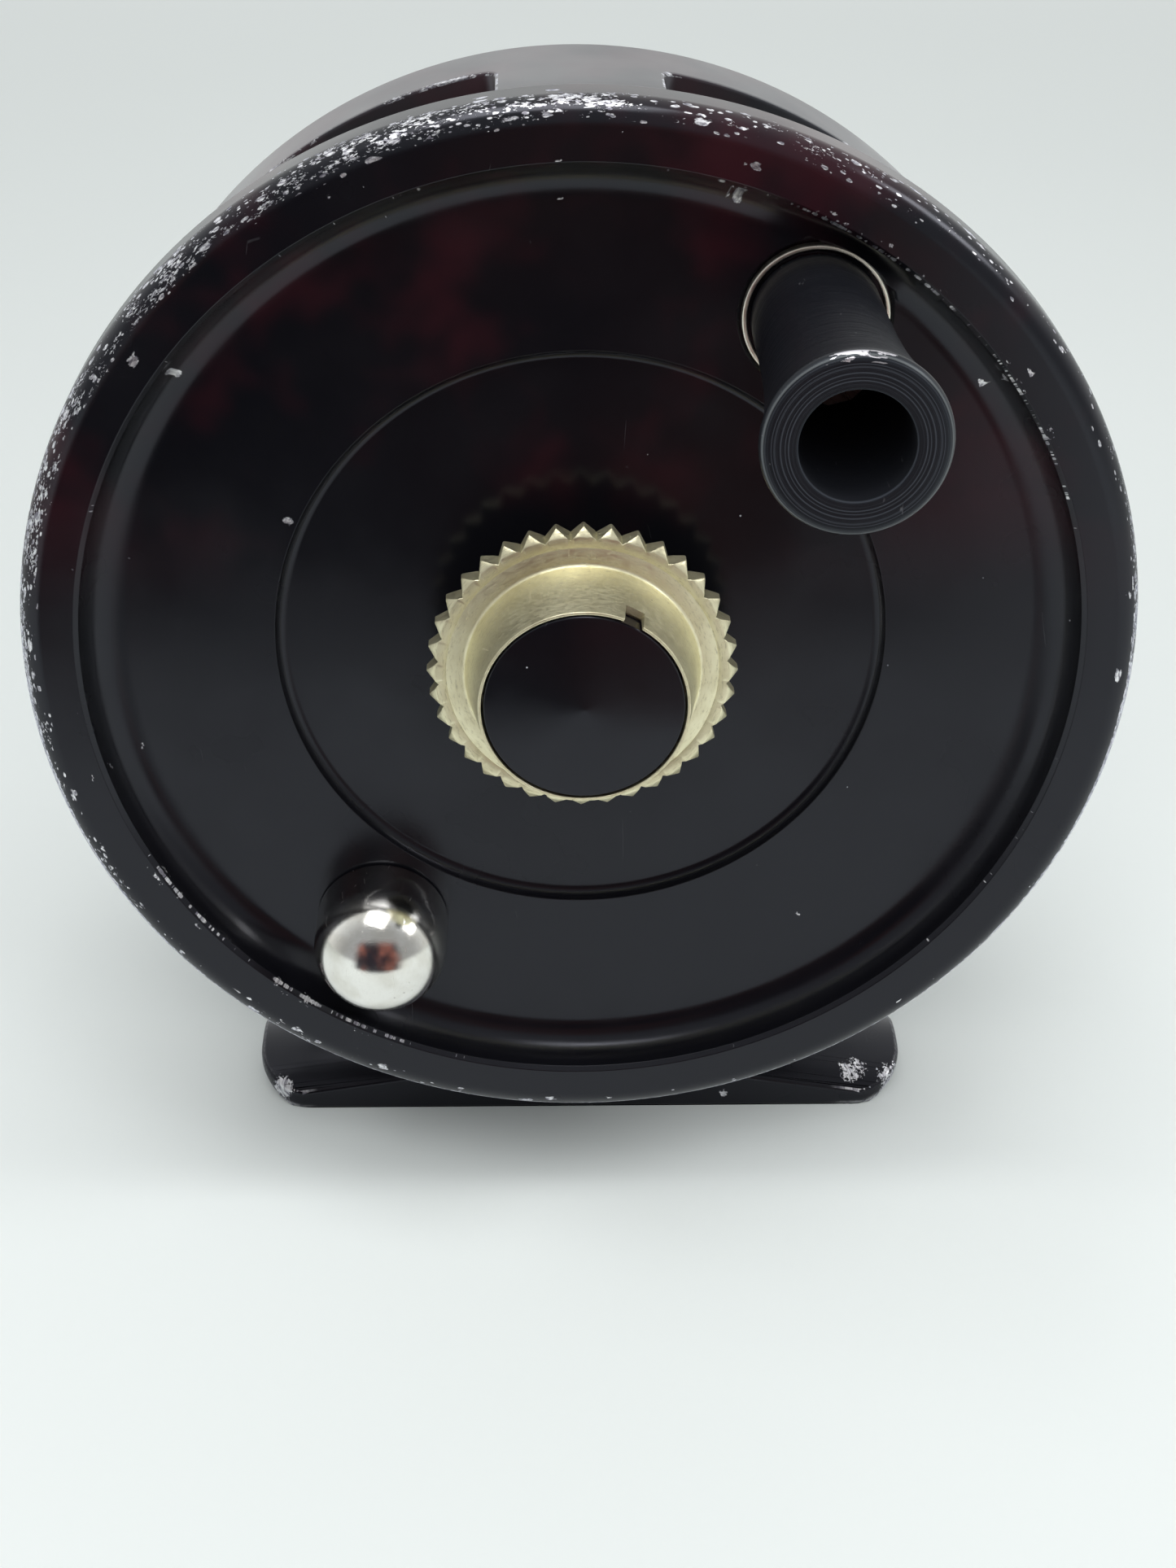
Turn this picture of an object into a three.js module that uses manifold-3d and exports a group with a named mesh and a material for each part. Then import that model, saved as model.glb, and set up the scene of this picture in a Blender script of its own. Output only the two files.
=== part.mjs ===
// Fly reel with an exposed rim, a disc drag set by a front knob, and a click pawl.
// Millimetres, +Z up. The foot runs along X, the spindle along Y, and the handle is on the -Y side.
// The origin is below the spindle on the foot's seat, the hollow that lies along the rod.
// Turned pieces are drawn round the spindle: a depth runs back along +Y from the front of the rim.

import * as THREE from "three";
import { mergeVertices } from "three/addons/utils/BufferGeometryUtils.js";
import Module from "manifold-3d";

const wasm = await Module();
wasm.setup();

// ---------------------------------------------------------------- clearances

const SEAT_GAP = 0.2; // between two pieces that seat face to face
const FIT_GAP = 0.3; // round a piece that is pressed or screwed into another
const RUN_GAP = 0.25; // round a piece that turns in or on another
const SNUG_GAP = 0.16; // round a piece whose joint shows

// ---------------------------------------------------------------- driving sizes

// Spool face: a dished plate with a thick rim
const RIM_RADIUS = 47.5;
const RIM_DEPTH = 5;
const RIM_SHOULDER = 2.1; // radius of the rounded front edge
const RIM_BACK_EDGE = 0.3;
const RING_WIDTH = 5.1; // from the outside of the rim to the edge of the dish
const DISH_EDGE = 0.4; // chamfer round the dish
const DISH_DEPTH = 4.1;
const DISH_FILLET = 3.5;
const STEP_RADIUS = 26.3; // the middle of the face is turned a little deeper
const STEP_DEPTH = 1.1;
const STEP_FILLET = 1.4;
const FACE_WALL = 1.4; // thickness of the face at its thinnest
const HUB_RADIUS = 9;
const HUB_RISE = 1.6;

// Spool drum
const SPOOL_WIDTH = 19.4; // room for line between the face and the rear flange
const FLANGE_THICKNESS = 1.8;
const ARBOR_RADIUS = 14;
const ARBOR_WALL = 2.2;
const SPIGOT_LENGTH = 3.3; // how far each end of the drum enters the arbor
const BUSHING_WALL = 1.95;
const SPOOL_SCREW_RADIUS = 1;
const SPOOL_SCREW_HEAD = 1.5;
const SPOOL_SCREW_HEAD_HEIGHT = 0.9;
const SPOOL_SCREW_COUNT = 3;
const SPOOL_SCREW_WALL = 0.45; // between a screw and the outside of the spigots

// Frame
const CAGE_RADIUS = 43.7;
const CAGE_WALL = 2.4;
const CAGE_STANDOFF = 0.4; // from the back of the rim to the front of the cage
const CAGE_EDGE = 0.8; // rounding of the rear corner
const REGISTER_GAP = 0.5; // from the spool face to the bore of the cage
const FLANGE_GAP = 0.8; // from the rear flange to the bore of the cage
const BACK_WALL = 3.3;
const BACK_RING_WIDTH = 5.6;
const BACK_RECESS = 0.8;
const BACK_BOSS_RADIUS = 14;
const WINDOW_LIP = 3.4; // width of the hoop in front of the windows
const REAR_BAND = 8; // width of the solid band behind the windows
const WINDOW_CORNER = 1.3;
const TOP_BRIDGE = 14.5; // width of the bar between the two upper windows
const SIDE_BRIDGE = 12; // width of the bar between an upper and a lower window
const FOOT_BRIDGE = 44; // width of the bar that the foot is screwed to

// Foot
const FOOT_LENGTH = 65.8;
const TOE_REACH = 1.5; // how much farther from the spindle the right toe ends than the left one
const FOOT_WIDTH = 14.5;
const FOOT_LAND = 0.35; // width of the edge that the reel stands on
const SEAT_DROP = 3.1; // from the crown of the hollow to that edge
const TOE_HEIGHT = 1.25; // from the seat to the top of the foot, at its tip
const TOE_CROWN = 3.3; // how much lower the top is at its edges than along its middle
const TOE_SLOPE = 9.6; // degrees, the rise of the top towards the middle
const TOE_CUT_LENGTH = 5;
const TOE_CUT_WIDTH = 5.2;
const TOE_ROUNDING = 0.6; // how far short of the tip a cut corner starts to turn
const PEDESTAL_TOP = 26; // width where the foot meets the cage
const PEDESTAL_BASE = 38;
const AXIS_HEIGHT = 55.3; // from the seat to the spindle
const FOOT_BACKSET = 4.15; // from the middle of the windows back to the middle of the foot
const FOOT_SCREW_SPACING = 14;
const FOOT_SCREW_RADIUS = 1.5;
const FOOT_SCREW_HEAD = 2.8;
const FOOT_SCREW_LENGTH = 9.5;

// Spindle and drag
const SPINDLE_RADIUS = 3;
const SPINDLE_FLANGE = 1.6;
const SPINDLE_SPIGOT = 1.2;
const SPINDLE_SCREW_RADIUS = 1.6;
const SPINDLE_SCREW_HEAD = 4.6;
const SPINDLE_SCREW_HEAD_HEIGHT = 1.5;
const SPINDLE_SCREW_LENGTH = 10;
const DRAG_DISC_THICKNESS = 2.2;
const DRAG_DISC_GAP = 0.9; // from the bore of the gear to the drag disc
const THRUST_WASHER_RADIUS = 7.4;
const THRUST_WASHER_THICKNESS = 0.6;
const SPRING_WASHER_RADIUS = 6.6;
const SPRING_WASHER_THICKNESS = 0.4;
const SPRING_WASHER_RISE = 0.4;

// Drag knob
const KNOB_TIP_RADIUS = 13.15;
const KNOB_ROOT_RADIUS = 12.2;
const KNOB_BAND_RADIUS = 12.44;
const KNOB_FLANGE = 1.8;
const KNOB_BEVEL = 0.6;
const KNOB_BACK_BEVEL = 0.2;
const KNOB_TEETH = 36;
const KNOB_BOSS_BASE = 9.93;
const KNOB_BOSS_TOP = 8.75;
const KNOB_BOSS_HEIGHT = 6.4;
const KNOB_COLLAR_RADIUS = 7.5;
const KNOB_COLLAR = 0.4;
const KNOB_THREAD_DEPTH = 4.1; // how far the spindle enters, from the back of the flange
const KNOB_NOTCH_WIDTH = 1.7;
const KNOB_NOTCH_DEPTH = 1.9;
const KNOB_NOTCH_ANGLE = 63; // degrees from +X towards +Z
const CAP_RADIUS = 8.34;
const CAP_THICKNESS = 2;
const CAP_CONE = 0.3; // how far its middle stands proud of its edge
const CAP_EDGE = 0.2;

// Handle
const HANDLE_ANGLE = 57.5; // degrees from +X towards +Z
const HANDLE_INSET = 6.6; // from the bore of the cage in to the handle's axis
const HANDLE_LENGTH = 27.6;
const HANDLE_BASE_RADIUS = 5.3;
const HANDLE_TIP_RADIUS = 6.98;
const HANDLE_EDGE = 0.8;
const HANDLE_STRAIGHT = 0.45; // share of the length that is all but straight
const HANDLE_FLARE = 0.7; // share of the length where the flare begins
const HANDLE_SWELL = 0.15; // how much the radius has grown there
const HANDLE_HOLE_RADIUS = 4.2;
const HANDLE_SHOULDER = 8.5; // length of the part that turns on the post
const HANDLE_POST_RADIUS = 2.3;
const HANDLE_STUD_RADIUS = 1.8;
const HANDLE_POST_FLANGE = 0.6;
const HANDLE_POCKET = 0.6; // depth of the seat turned in the face
const HANDLE_COLLAR_WALL = 0.4;
const HANDLE_COLLAR_RISE = 0.5;
const HANDLE_SCREW_HEAD = 3.5;
const HANDLE_SCREW_HEAD_HEIGHT = 1.4;
const HANDLE_SCREW_RADIUS = 1.1;
const HANDLE_SCREW_LENGTH = 5;

// Counterweight
const WEIGHT_INSET = 7.8; // from the bore of the cage in to the counterweight's axis
const WEIGHT_RADIUS = 6;
const WEIGHT_HEIGHT = 10.3;
const WEIGHT_SCREW_RADIUS = 1.2;
const WEIGHT_SCREW_HEAD = 2.5;
const WEIGHT_SCREW_LENGTH = 5;

// Click
const GEAR_TIP_RADIUS = 13.2;
const GEAR_ROOT_RADIUS = 11.6;
const GEAR_BORE_GAP = 0.05; // from the bore to the heads of the spool screws
const GEAR_TEETH = 24;
const GEAR_THICKNESS = 1.5;
const PAWL_X = 10.5; // the pawl's pivot, across and below the spindle
const PAWL_DROP = 16.5;
const PAWL_THICKNESS = 1.3;
const PAWL_EYE_RADIUS = 3;
const PAWL_TIP_GAP = 0.45; // from the root of the gear to the pawl's tip at rest
const PAWL_ARM = 2.3;
const PAWL_POINT_LENGTH = 1.4;
const PAWL_POINT_HALF = 0.95; // half the width of the point at its root
const POST_RADIUS = 1.25;
const POST_HEAD = 2.4;
const SPACER_RADIUS = 2.5;
const SPRING_THICKNESS = 0.4;
const SPRING_WIDTH = 1.1;
const SPRING_POST_X = -12.5;
const SPRING_POST_DROP = 18.6;
const SPRING_EYE_WALL = 0.6;
const SPRING_END_X = 1.75;
const SPRING_END_GAP = 0.5; // room under the pawl's arm, on top of the fit

const SLOT_WIDTH = 0.7; // screwdriver slots
const SLOT_DEPTH = 0.6;

const OVERRUN = 1; // how far a cut runs on past the face that it opens

// ---------------------------------------------------------------- worked-out places

const ringInner = RIM_RADIUS - RING_WIDTH;
const discDepth = DISH_DEPTH + STEP_DEPTH;
const faceBack = discDepth + FACE_WALL;
const hubFront = discDepth - HUB_RISE;
const spindleHole = SPINDLE_RADIUS + RUN_GAP;
const bushingRadius = spindleHole + BUSHING_WALL;
const bushingBore = bushingRadius + FIT_GAP;
const arborBore = ARBOR_RADIUS - ARBOR_WALL;
const spigotRadius = arborBore - FIT_GAP;
const spoolScrewCircle = spigotRadius - SPOOL_SCREW_WALL - SPOOL_SCREW_RADIUS;
const gearBore = spoolScrewCircle - SPOOL_SCREW_HEAD - GEAR_BORE_GAP;
const dragRadius = gearBore - DRAG_DISC_GAP;
const flangeFront = faceBack + SPOOL_WIDTH;
const flangeBack = flangeFront + FLANGE_THICKNESS;

const cageBore = CAGE_RADIUS - CAGE_WALL;
const cageFront = RIM_DEPTH + CAGE_STANDOFF;
const dragFront = flangeBack + SEAT_GAP;
const dragBack = dragFront + DRAG_DISC_THICKNESS;
const spindleFlangeFront = dragBack + SEAT_GAP;
const spindleFlangeBack = spindleFlangeFront + SPINDLE_FLANGE;
const backInside = spindleFlangeBack + SEAT_GAP;
const backOutside = backInside + BACK_WALL;
const windowFront = cageFront + WINDOW_LIP;
const windowBack = backOutside - REAR_BAND;
const spigotBack = spindleFlangeBack + SPINDLE_SPIGOT;

const washerBack = hubFront - SEAT_GAP;
const washerFront = washerBack - THRUST_WASHER_THICKNESS;
const springDepth = SPRING_WASHER_THICKNESS + SPRING_WASHER_RISE;
const rearSpringFront = washerFront - SEAT_GAP - springDepth;
const frontSpringFront = rearSpringFront - SEAT_GAP - springDepth;
const knobCollarBack = frontSpringFront - SEAT_GAP;
const knobFlangeBack = knobCollarBack - KNOB_COLLAR;
const knobFlangeFront = knobFlangeBack - KNOB_FLANGE;
const knobFront = knobFlangeFront - KNOB_BOSS_HEIGHT;
const spindleFront = knobFlangeBack - KNOB_THREAD_DEPTH;

const gearFront = flangeBack + SEAT_GAP;
const gearBack = gearFront + GEAR_THICKNESS;
const pawlFront = gearFront + SEAT_GAP;
const pawlBack = pawlFront + PAWL_THICKNESS;
const pawlTip = GEAR_ROOT_RADIUS + PAWL_TIP_GAP;
const backRecessed = backOutside - BACK_RECESS;

const seatHalf = FOOT_WIDTH / 2 - FOOT_LAND;
const toeLeft = (FOOT_LENGTH - TOE_REACH) / 2;
const toeRight = toeLeft + TOE_REACH;
const seatRadius = (seatHalf * seatHalf + SEAT_DROP * SEAT_DROP) / (2 * SEAT_DROP);
const footCentre = (windowFront + windowBack) / 2 + FOOT_BACKSET;
const footScrewX = FOOT_SCREW_SPACING / 2;
const footScrewTop = AXIS_HEIGHT - Math.sqrt(cageBore ** 2 - footScrewX ** 2) - SEAT_GAP;

const degrees = Math.PI / 180;
const handleReach = cageBore - HANDLE_INSET;
const weightReach = cageBore - WEIGHT_INSET;
const handleX = handleReach * Math.cos(HANDLE_ANGLE * degrees);
const handleZ = handleReach * Math.sin(HANDLE_ANGLE * degrees);
const weightX = -weightReach * Math.cos(HANDLE_ANGLE * degrees);
const weightZ = -weightReach * Math.sin(HANDLE_ANGLE * degrees);
const collarRadius = HANDLE_BASE_RADIUS + FIT_GAP + HANDLE_COLLAR_WALL;
const pocketFloor = DISH_DEPTH + HANDLE_POCKET;
const postSeat = pocketFloor - SEAT_GAP;
const gripBase = postSeat - HANDLE_POST_FLANGE - SEAT_GAP;
const gripTip = gripBase - HANDLE_LENGTH;
const gripShoulder = gripBase - HANDLE_SHOULDER;
const postFront = gripShoulder - SEAT_GAP;

// Facets round a full turn
const LARGE = 48;
const MEDIUM = 32;
const SMALL = 20;
const TINY = 12;

// ---------------------------------------------------------------- finishes

function finish(color, roughness, metalness) {
  return new THREE.MeshStandardMaterial({ color, roughness, metalness, flatShading: true });
}

const blackGloss = finish(0x0b0b0e, 0.18, 0.3);
const blackSatin = finish(0x151517, 0.45, 0.1);
const nickelSilver = finish(0xc9c2a0, 0.35, 1);
const brightNickel = finish(0xd8d2c4, 0.2, 1);
const aluminium = finish(0xc8cacc, 0.25, 1);
const steel = finish(0x9a9ca0, 0.35, 1);
const bronze = finish(0xb08a4a, 0.4, 1);
const cork = finish(0xb98f5e, 0.9, 0);

// ---------------------------------------------------------------- making solids

// A closed three.js geometry as a solid, with its faces turned outwards.
function solid(geometry) {
  geometry.deleteAttribute("normal");
  geometry.deleteAttribute("uv");
  const merged = mergeVertices(geometry, 1e-4);
  const vertProperties = merged.attributes.position.array;
  const triVerts = new Uint32Array(merged.index.array);
  const made = new wasm.Manifold(new wasm.Mesh({ numProp: 3, vertProperties, triVerts }));
  if (made.volume() > 0) return made;
  triVerts.reverse();
  return new wasm.Manifold(new wasm.Mesh({ numProp: 3, vertProperties, triVerts }));
}

// An outline of [radius, depth] points, turned round the spindle's line or one beside it.
function turned(profile, segments, x = 0, z = 0) {
  const closed = [...profile, profile[0]].map(([r, d]) => new THREE.Vector2(r, d));
  return solid(new THREE.LatheGeometry(closed, segments).translate(x, 0, z));
}

// A round bar between two depths.
function bar(radius, from, to, segments, x = 0, z = 0) {
  const rod = new THREE.CylinderGeometry(radius, radius, to - from, segments);
  return solid(rod.translate(x, (from + to) / 2, z));
}

// A ring between two radii and two depths.
function ring(inner, outer, from, to, segments, x = 0, z = 0) {
  return turned([[inner, from], [outer, from], [outer, to], [inner, to]], segments, x, z);
}

// A block by its middle and its size.
function block(middle, size) {
  return solid(new THREE.BoxGeometry(...size).translate(...middle));
}

// A flat outline of [x, z] points, as thick as the distance between two depths.
function plate(outline, from, to) {
  const shape = new THREE.Shape(outline.map(([x, z]) => new THREE.Vector2(x, -z)));
  const flat = new THREE.ExtrudeGeometry(shape, { depth: to - from, bevelEnabled: false });
  return solid(flat.rotateX(-Math.PI / 2).translate(0, from, 0));
}

// A closed body through a row of loops, each a list of [x, y, z] points, with flat ends.
function loft(loops) {
  const count = loops[0].length;
  const index = [];
  loops.slice(1).forEach((_, row) => {
    for (let i = 0; i < count; i++) {
      const a = row * count + i;
      const b = row * count + ((i + 1) % count);
      index.push(a, b, b + count, a, b + count, a + count);
    }
  });
  const last = (loops.length - 1) * count;
  for (let i = 1; i < count - 1; i++) {
    index.push(0, i + 1, i);
    index.push(last, last + i, last + i + 1);
  }
  const body = new THREE.BufferGeometry();
  body.setAttribute("position", new THREE.Float32BufferAttribute(loops.flat(2), 3));
  body.setIndex(index);
  return solid(body);
}

// Points along part of an oval, from one angle to another, as [x, y] pairs.
function oval(cx, cy, width, height, from, to, steps) {
  return Array.from({ length: steps + 1 }, (_, i) => {
    const angle = (from + ((to - from) * i) / steps) * degrees;
    return [cx + width * Math.cos(angle), cy + height * Math.sin(angle)];
  });
}

// Points along an arc.
function arc(cx, cy, radius, from, to, steps) {
  return oval(cx, cy, radius, radius, from, to, steps);
}

// Where a piece of a circular pattern lies.
function around(radius, angle) {
  return [radius * Math.cos(angle * degrees), radius * Math.sin(angle * degrees)];
}

// The outline of a countersunk screw or pin, from its end to the face of its head.
function countersunk(radius, head, end, face) {
  return [[0, end], [radius, end], [radius, face - head + radius], [head, face], [0, face]];
}

// The outline of the hole for one, wider all round and open past the head.
function countersunkHole(radius, head, end, face) {
  const wide = radius + FIT_GAP;
  const mouth = head + FIT_GAP;
  const open = face + head;
  const cone = [[wide, face - head + radius], [mouth, face]];
  return [[0, end - FIT_GAP], [wide, end - FIT_GAP], ...cone, [mouth, open], [0, open]];
}

// A screwdriver slot across a head whose face is at a depth.
function slotCut(head, depth, x = 0, z = 0, width = SLOT_WIDTH) {
  return block([x, depth, z], [3 * head, 2 * SLOT_DEPTH, width]);
}

const reel = new THREE.Group();
const onSpindle = new THREE.Group();
onSpindle.position.set(0, -footCentre, AXIS_HEIGHT);
reel.add(onSpindle);

// A named mesh from a solid.
function piece(group, name, body, material) {
  const made = body.getMesh();
  const geometry = new THREE.BufferGeometry();
  geometry.setAttribute("position", new THREE.BufferAttribute(made.vertProperties, 3));
  geometry.setIndex(new THREE.BufferAttribute(made.triVerts, 1));
  geometry.computeVertexNormals();
  const mesh = new THREE.Mesh(geometry, material);
  mesh.name = name;
  group.add(mesh);
}

// ---------------------------------------------------------------- frame

// A slot through the cage wall between two angles, measured from +X towards +Z.
function windowCut(from, to) {
  const inner = cageBore - 2 * CAGE_WALL;
  const outer = CAGE_RADIUS + 2 * CAGE_WALL;
  const corner = WINDOW_CORNER / CAGE_RADIUS / degrees;
  const steps = Math.ceil((to - from) / (360 / LARGE));
  const straight = Array.from({ length: steps + 1 }, (_, i) => [
    from + corner + ((to - from - 2 * corner) * i) / steps,
    0,
  ]);
  const rounded = arc(0, 0, 1, 90, 0, 3).map(([c, s]) => [corner * (1 - c), WINDOW_CORNER * (1 - s)]);
  const start = rounded.map(([da, dd]) => [from + corner - da, dd]).reverse();
  const end = rounded.map(([da, dd]) => [to - corner + da, dd]);
  const stations = [...start.slice(0, -1), ...straight, ...end.slice(1)];
  return loft(
    stations.map(([angle, inset]) => {
      const [x0, z0] = around(inner, angle);
      const [x1, z1] = around(outer, angle);
      const near = windowFront + inset;
      const far = windowBack - inset;
      return [[x0, near, z0], [x1, near, z1], [x1, far, z1], [x0, far, z0]];
    }),
  );
}

function frameCage() {
  const ringInside = CAGE_RADIUS - BACK_RING_WIDTH;
  let cage = turned(
    [
      [SPINDLE_SCREW_RADIUS + FIT_GAP, spigotBack + SEAT_GAP],
      [SPINDLE_RADIUS + FIT_GAP, spigotBack + SEAT_GAP],
      [SPINDLE_RADIUS + FIT_GAP, backInside],
      [cageBore, backInside],
      [cageBore, cageFront],
      [CAGE_RADIUS, cageFront],
      ...arc(CAGE_RADIUS - CAGE_EDGE, backOutside - CAGE_EDGE, CAGE_EDGE, 0, 90, 3),
      [ringInside, backOutside],
      [ringInside - BACK_RECESS, backRecessed],
      [BACK_BOSS_RADIUS + BACK_RECESS, backRecessed],
      [BACK_BOSS_RADIUS, backOutside],
      [SPINDLE_SCREW_HEAD + FIT_GAP, backOutside],
      [SPINDLE_SCREW_HEAD + FIT_GAP, backOutside - SPINDLE_SCREW_HEAD_HEIGHT + SEAT_GAP],
      [SPINDLE_SCREW_RADIUS + FIT_GAP, backOutside - SPINDLE_SCREW_HEAD_HEIGHT + SEAT_GAP],
    ],
    LARGE,
  );
  const half = (width) => Math.asin(width / 2 / CAGE_RADIUS) / degrees;
  const cuts = [
    [half(SIDE_BRIDGE), 90 - half(TOP_BRIDGE)],
    [90 + half(TOP_BRIDGE), 180 - half(SIDE_BRIDGE)],
    [180 + half(SIDE_BRIDGE), 270 - half(FOOT_BRIDGE)],
    [270 + half(FOOT_BRIDGE), 360 - half(SIDE_BRIDGE)],
  ];
  cuts.forEach(([from, to]) => {
    cage = cage.subtract(windowCut(from, to));
  });
  cage = cage.subtract(turned(postOutline(countersunkHole), TINY, PAWL_X, -PAWL_DROP));
  cage = cage.subtract(turned(postOutline(countersunkHole), TINY, SPRING_POST_X, -SPRING_POST_DROP));
  for (const side of [-1, 1]) {
    const hole = footScrewShape(countersunkHole, side);
    cage = cage.subtract(hole.translate(0, footCentre, -AXIS_HEIGHT));
  }
  return cage;
}

piece(onSpindle, "frame_cage", frameCage(), blackGloss);

// ---------------------------------------------------------------- foot

// One of the two upright screws, or the hole for it.
function footScrewShape(outline, side) {
  const end = footScrewTop - FOOT_SCREW_LENGTH;
  const upright = turned(outline(FOOT_SCREW_RADIUS, FOOT_SCREW_HEAD, end, footScrewTop), TINY);
  return upright.rotate(90, 0, 0).translate(side * footScrewX, 0, 0);
}

function footScrew(side) {
  const size = [SLOT_WIDTH, 3 * FOOT_SCREW_HEAD, 2 * SLOT_DEPTH];
  return footScrewShape(countersunk, side).subtract(block([side * footScrewX, 0, footScrewTop], size));
}

// The flat part of the foot: a bar with a crowned top that rises towards the middle.
function footBar() {
  const halfWidth = FOOT_WIDTH / 2;
  const slope = Math.tan(TOE_SLOPE * degrees);
  const steps = 9;
  const across = Array.from({ length: steps + 1 }, (_, i) => halfWidth * (1 - (2 * i) / steps));
  const section = (x, top) => [
    [x, -halfWidth, -SEAT_DROP],
    [x, halfWidth, -SEAT_DROP],
    ...across.map((y) => [x, y, top - TOE_CROWN * (y / halfWidth) ** 2]),
  ];
  return loft([
    section(-toeLeft, TOE_HEIGHT),
    section(0, TOE_HEIGHT + toeLeft * slope),
    section(toeRight, TOE_HEIGHT - TOE_REACH * slope),
  ]);
}

// The rounded outline of the foot seen from above.
function footOutline() {
  const halfWidth = FOOT_WIDTH / 2;
  const outline = new THREE.Shape();
  const corners = [[1, -1], [1, 1], [-1, 1], [-1, -1]];
  corners.forEach(([sx, sy], i) => {
    const end = sx > 0 ? toeRight : toeLeft;
    const along = [sx * (end - TOE_CUT_LENGTH), sy * halfWidth];
    const across = [sx * end, sy * (halfWidth - TOE_CUT_WIDTH)];
    const [from, to] = i % 2 ? [across, along] : [along, across];
    if (i) outline.lineTo(...from);
    else outline.moveTo(...from);
    outline.quadraticCurveTo(sx * (end - TOE_ROUNDING), sy * halfWidth, ...to);
  });
  const height = 2 * AXIS_HEIGHT;
  const shape = { depth: height, bevelEnabled: false, curveSegments: 4 };
  return solid(new THREE.ExtrudeGeometry(outline, shape).translate(0, 0, -height / 2));
}

// The stem between the bar and the cage, with hollow curved sides.
function footPedestal() {
  const top = AXIS_HEIGHT - CAGE_RADIUS + CAGE_WALL;
  const low = -SEAT_DROP / 2;
  const side = new THREE.Shape();
  side.moveTo(-PEDESTAL_BASE / 2, low);
  side.quadraticCurveTo(-PEDESTAL_TOP / 2, SEAT_DROP, -PEDESTAL_TOP / 2, top);
  side.lineTo(PEDESTAL_TOP / 2, top);
  side.quadraticCurveTo(PEDESTAL_TOP / 2, SEAT_DROP, PEDESTAL_BASE / 2, low);
  const shape = { depth: FOOT_WIDTH, bevelEnabled: false, curveSegments: 6 };
  const upright = new THREE.ExtrudeGeometry(side, shape).rotateX(Math.PI / 2);
  const stem = solid(upright.translate(0, FOOT_WIDTH / 2, 0));
  const cage = bar(CAGE_RADIUS + SEAT_GAP, -FOOT_WIDTH, FOOT_WIDTH, 2 * LARGE, 0, AXIS_HEIGHT);
  return stem.subtract(cage);
}

// The hollow along the underside. One facet of it, the seat, is flat at its crown.
function seatHollow() {
  const facets = 36;
  const half = Math.PI / facets;
  const corner = seatRadius / Math.cos(half);
  const tube = new THREE.CylinderGeometry(corner, corner, 2 * FOOT_LENGTH, facets, 1, false, half);
  return solid(tube.rotateZ(Math.PI / 2).translate(0, 0, -seatRadius));
}

function reelFoot() {
  const body = footBar().add(footPedestal()).subtract(seatHollow()).intersect(footOutline());
  const holes = footScrewShape(countersunkHole, -1).add(footScrewShape(countersunkHole, 1));
  return body.subtract(holes);
}

piece(reel, "reel_foot", reelFoot(), blackGloss);
piece(reel, "foot_screw_left", footScrew(-1), steel);
piece(reel, "foot_screw_right", footScrew(1), steel);

// ---------------------------------------------------------------- spindle and drag

const spindleScrewFront = backOutside - SPINDLE_SCREW_HEAD_HEIGHT + 2 * SEAT_GAP;

function spindle() {
  const bore = SPINDLE_SCREW_RADIUS + FIT_GAP;
  const boreEnd = spindleScrewFront - SPINDLE_SCREW_LENGTH - FIT_GAP;
  return turned(
    [
      [0, spindleFront],
      [SPINDLE_RADIUS - FIT_GAP, spindleFront],
      [SPINDLE_RADIUS, spindleFront + FIT_GAP],
      [SPINDLE_RADIUS, spindleFlangeFront],
      [dragRadius, spindleFlangeFront],
      [dragRadius, spindleFlangeBack],
      [SPINDLE_RADIUS, spindleFlangeBack],
      [SPINDLE_RADIUS, spigotBack],
      [bore, spigotBack],
      [bore, boreEnd],
      [0, boreEnd],
    ],
    SMALL,
  );
}

function spindleScrew() {
  const head = spindleScrewFront + SPINDLE_SCREW_HEAD_HEIGHT;
  const screw = turned(
    [
      [0, spindleScrewFront - SPINDLE_SCREW_LENGTH],
      [SPINDLE_SCREW_RADIUS, spindleScrewFront - SPINDLE_SCREW_LENGTH],
      [SPINDLE_SCREW_RADIUS, spindleScrewFront],
      [SPINDLE_SCREW_HEAD, spindleScrewFront],
      ...oval(0, head - SLOT_DEPTH, SPINDLE_SCREW_HEAD, SLOT_DEPTH, 0, 90, 3),
    ],
    SMALL,
  );
  return screw.subtract(slotCut(SPINDLE_SCREW_HEAD, head, 0, 0, 1.5 * SLOT_WIDTH));
}

const washerBore = SPINDLE_RADIUS + FIT_GAP;
const dragDisc = ring(washerBore, dragRadius, dragFront, dragBack, MEDIUM);
const thrustWasher = ring(washerBore, THRUST_WASHER_RADIUS, washerFront, washerBack, SMALL);

// A coned spring washer. Its outer edge is behind its bore when lean is 1, and ahead when it is -1.
function springWasher(front, lean) {
  const inner = lean > 0 ? front : front + SPRING_WASHER_RISE;
  const outer = lean > 0 ? front + SPRING_WASHER_RISE : front;
  return turned(
    [
      [washerBore, inner],
      [SPRING_WASHER_RADIUS, outer],
      [SPRING_WASHER_RADIUS, outer + SPRING_WASHER_THICKNESS],
      [washerBore, inner + SPRING_WASHER_THICKNESS],
    ],
    SMALL,
  );
}

piece(onSpindle, "spindle", spindle(), steel);
piece(onSpindle, "spindle_screw", spindleScrew(), steel);
piece(onSpindle, "drag_disc", dragDisc, cork);
piece(onSpindle, "thrust_washer", thrustWasher, steel);
piece(onSpindle, "spring_washer_rear", springWasher(rearSpringFront, 1), steel);
piece(onSpindle, "spring_washer_front", springWasher(frontSpringFront, -1), steel);

// ---------------------------------------------------------------- drag knob

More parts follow.
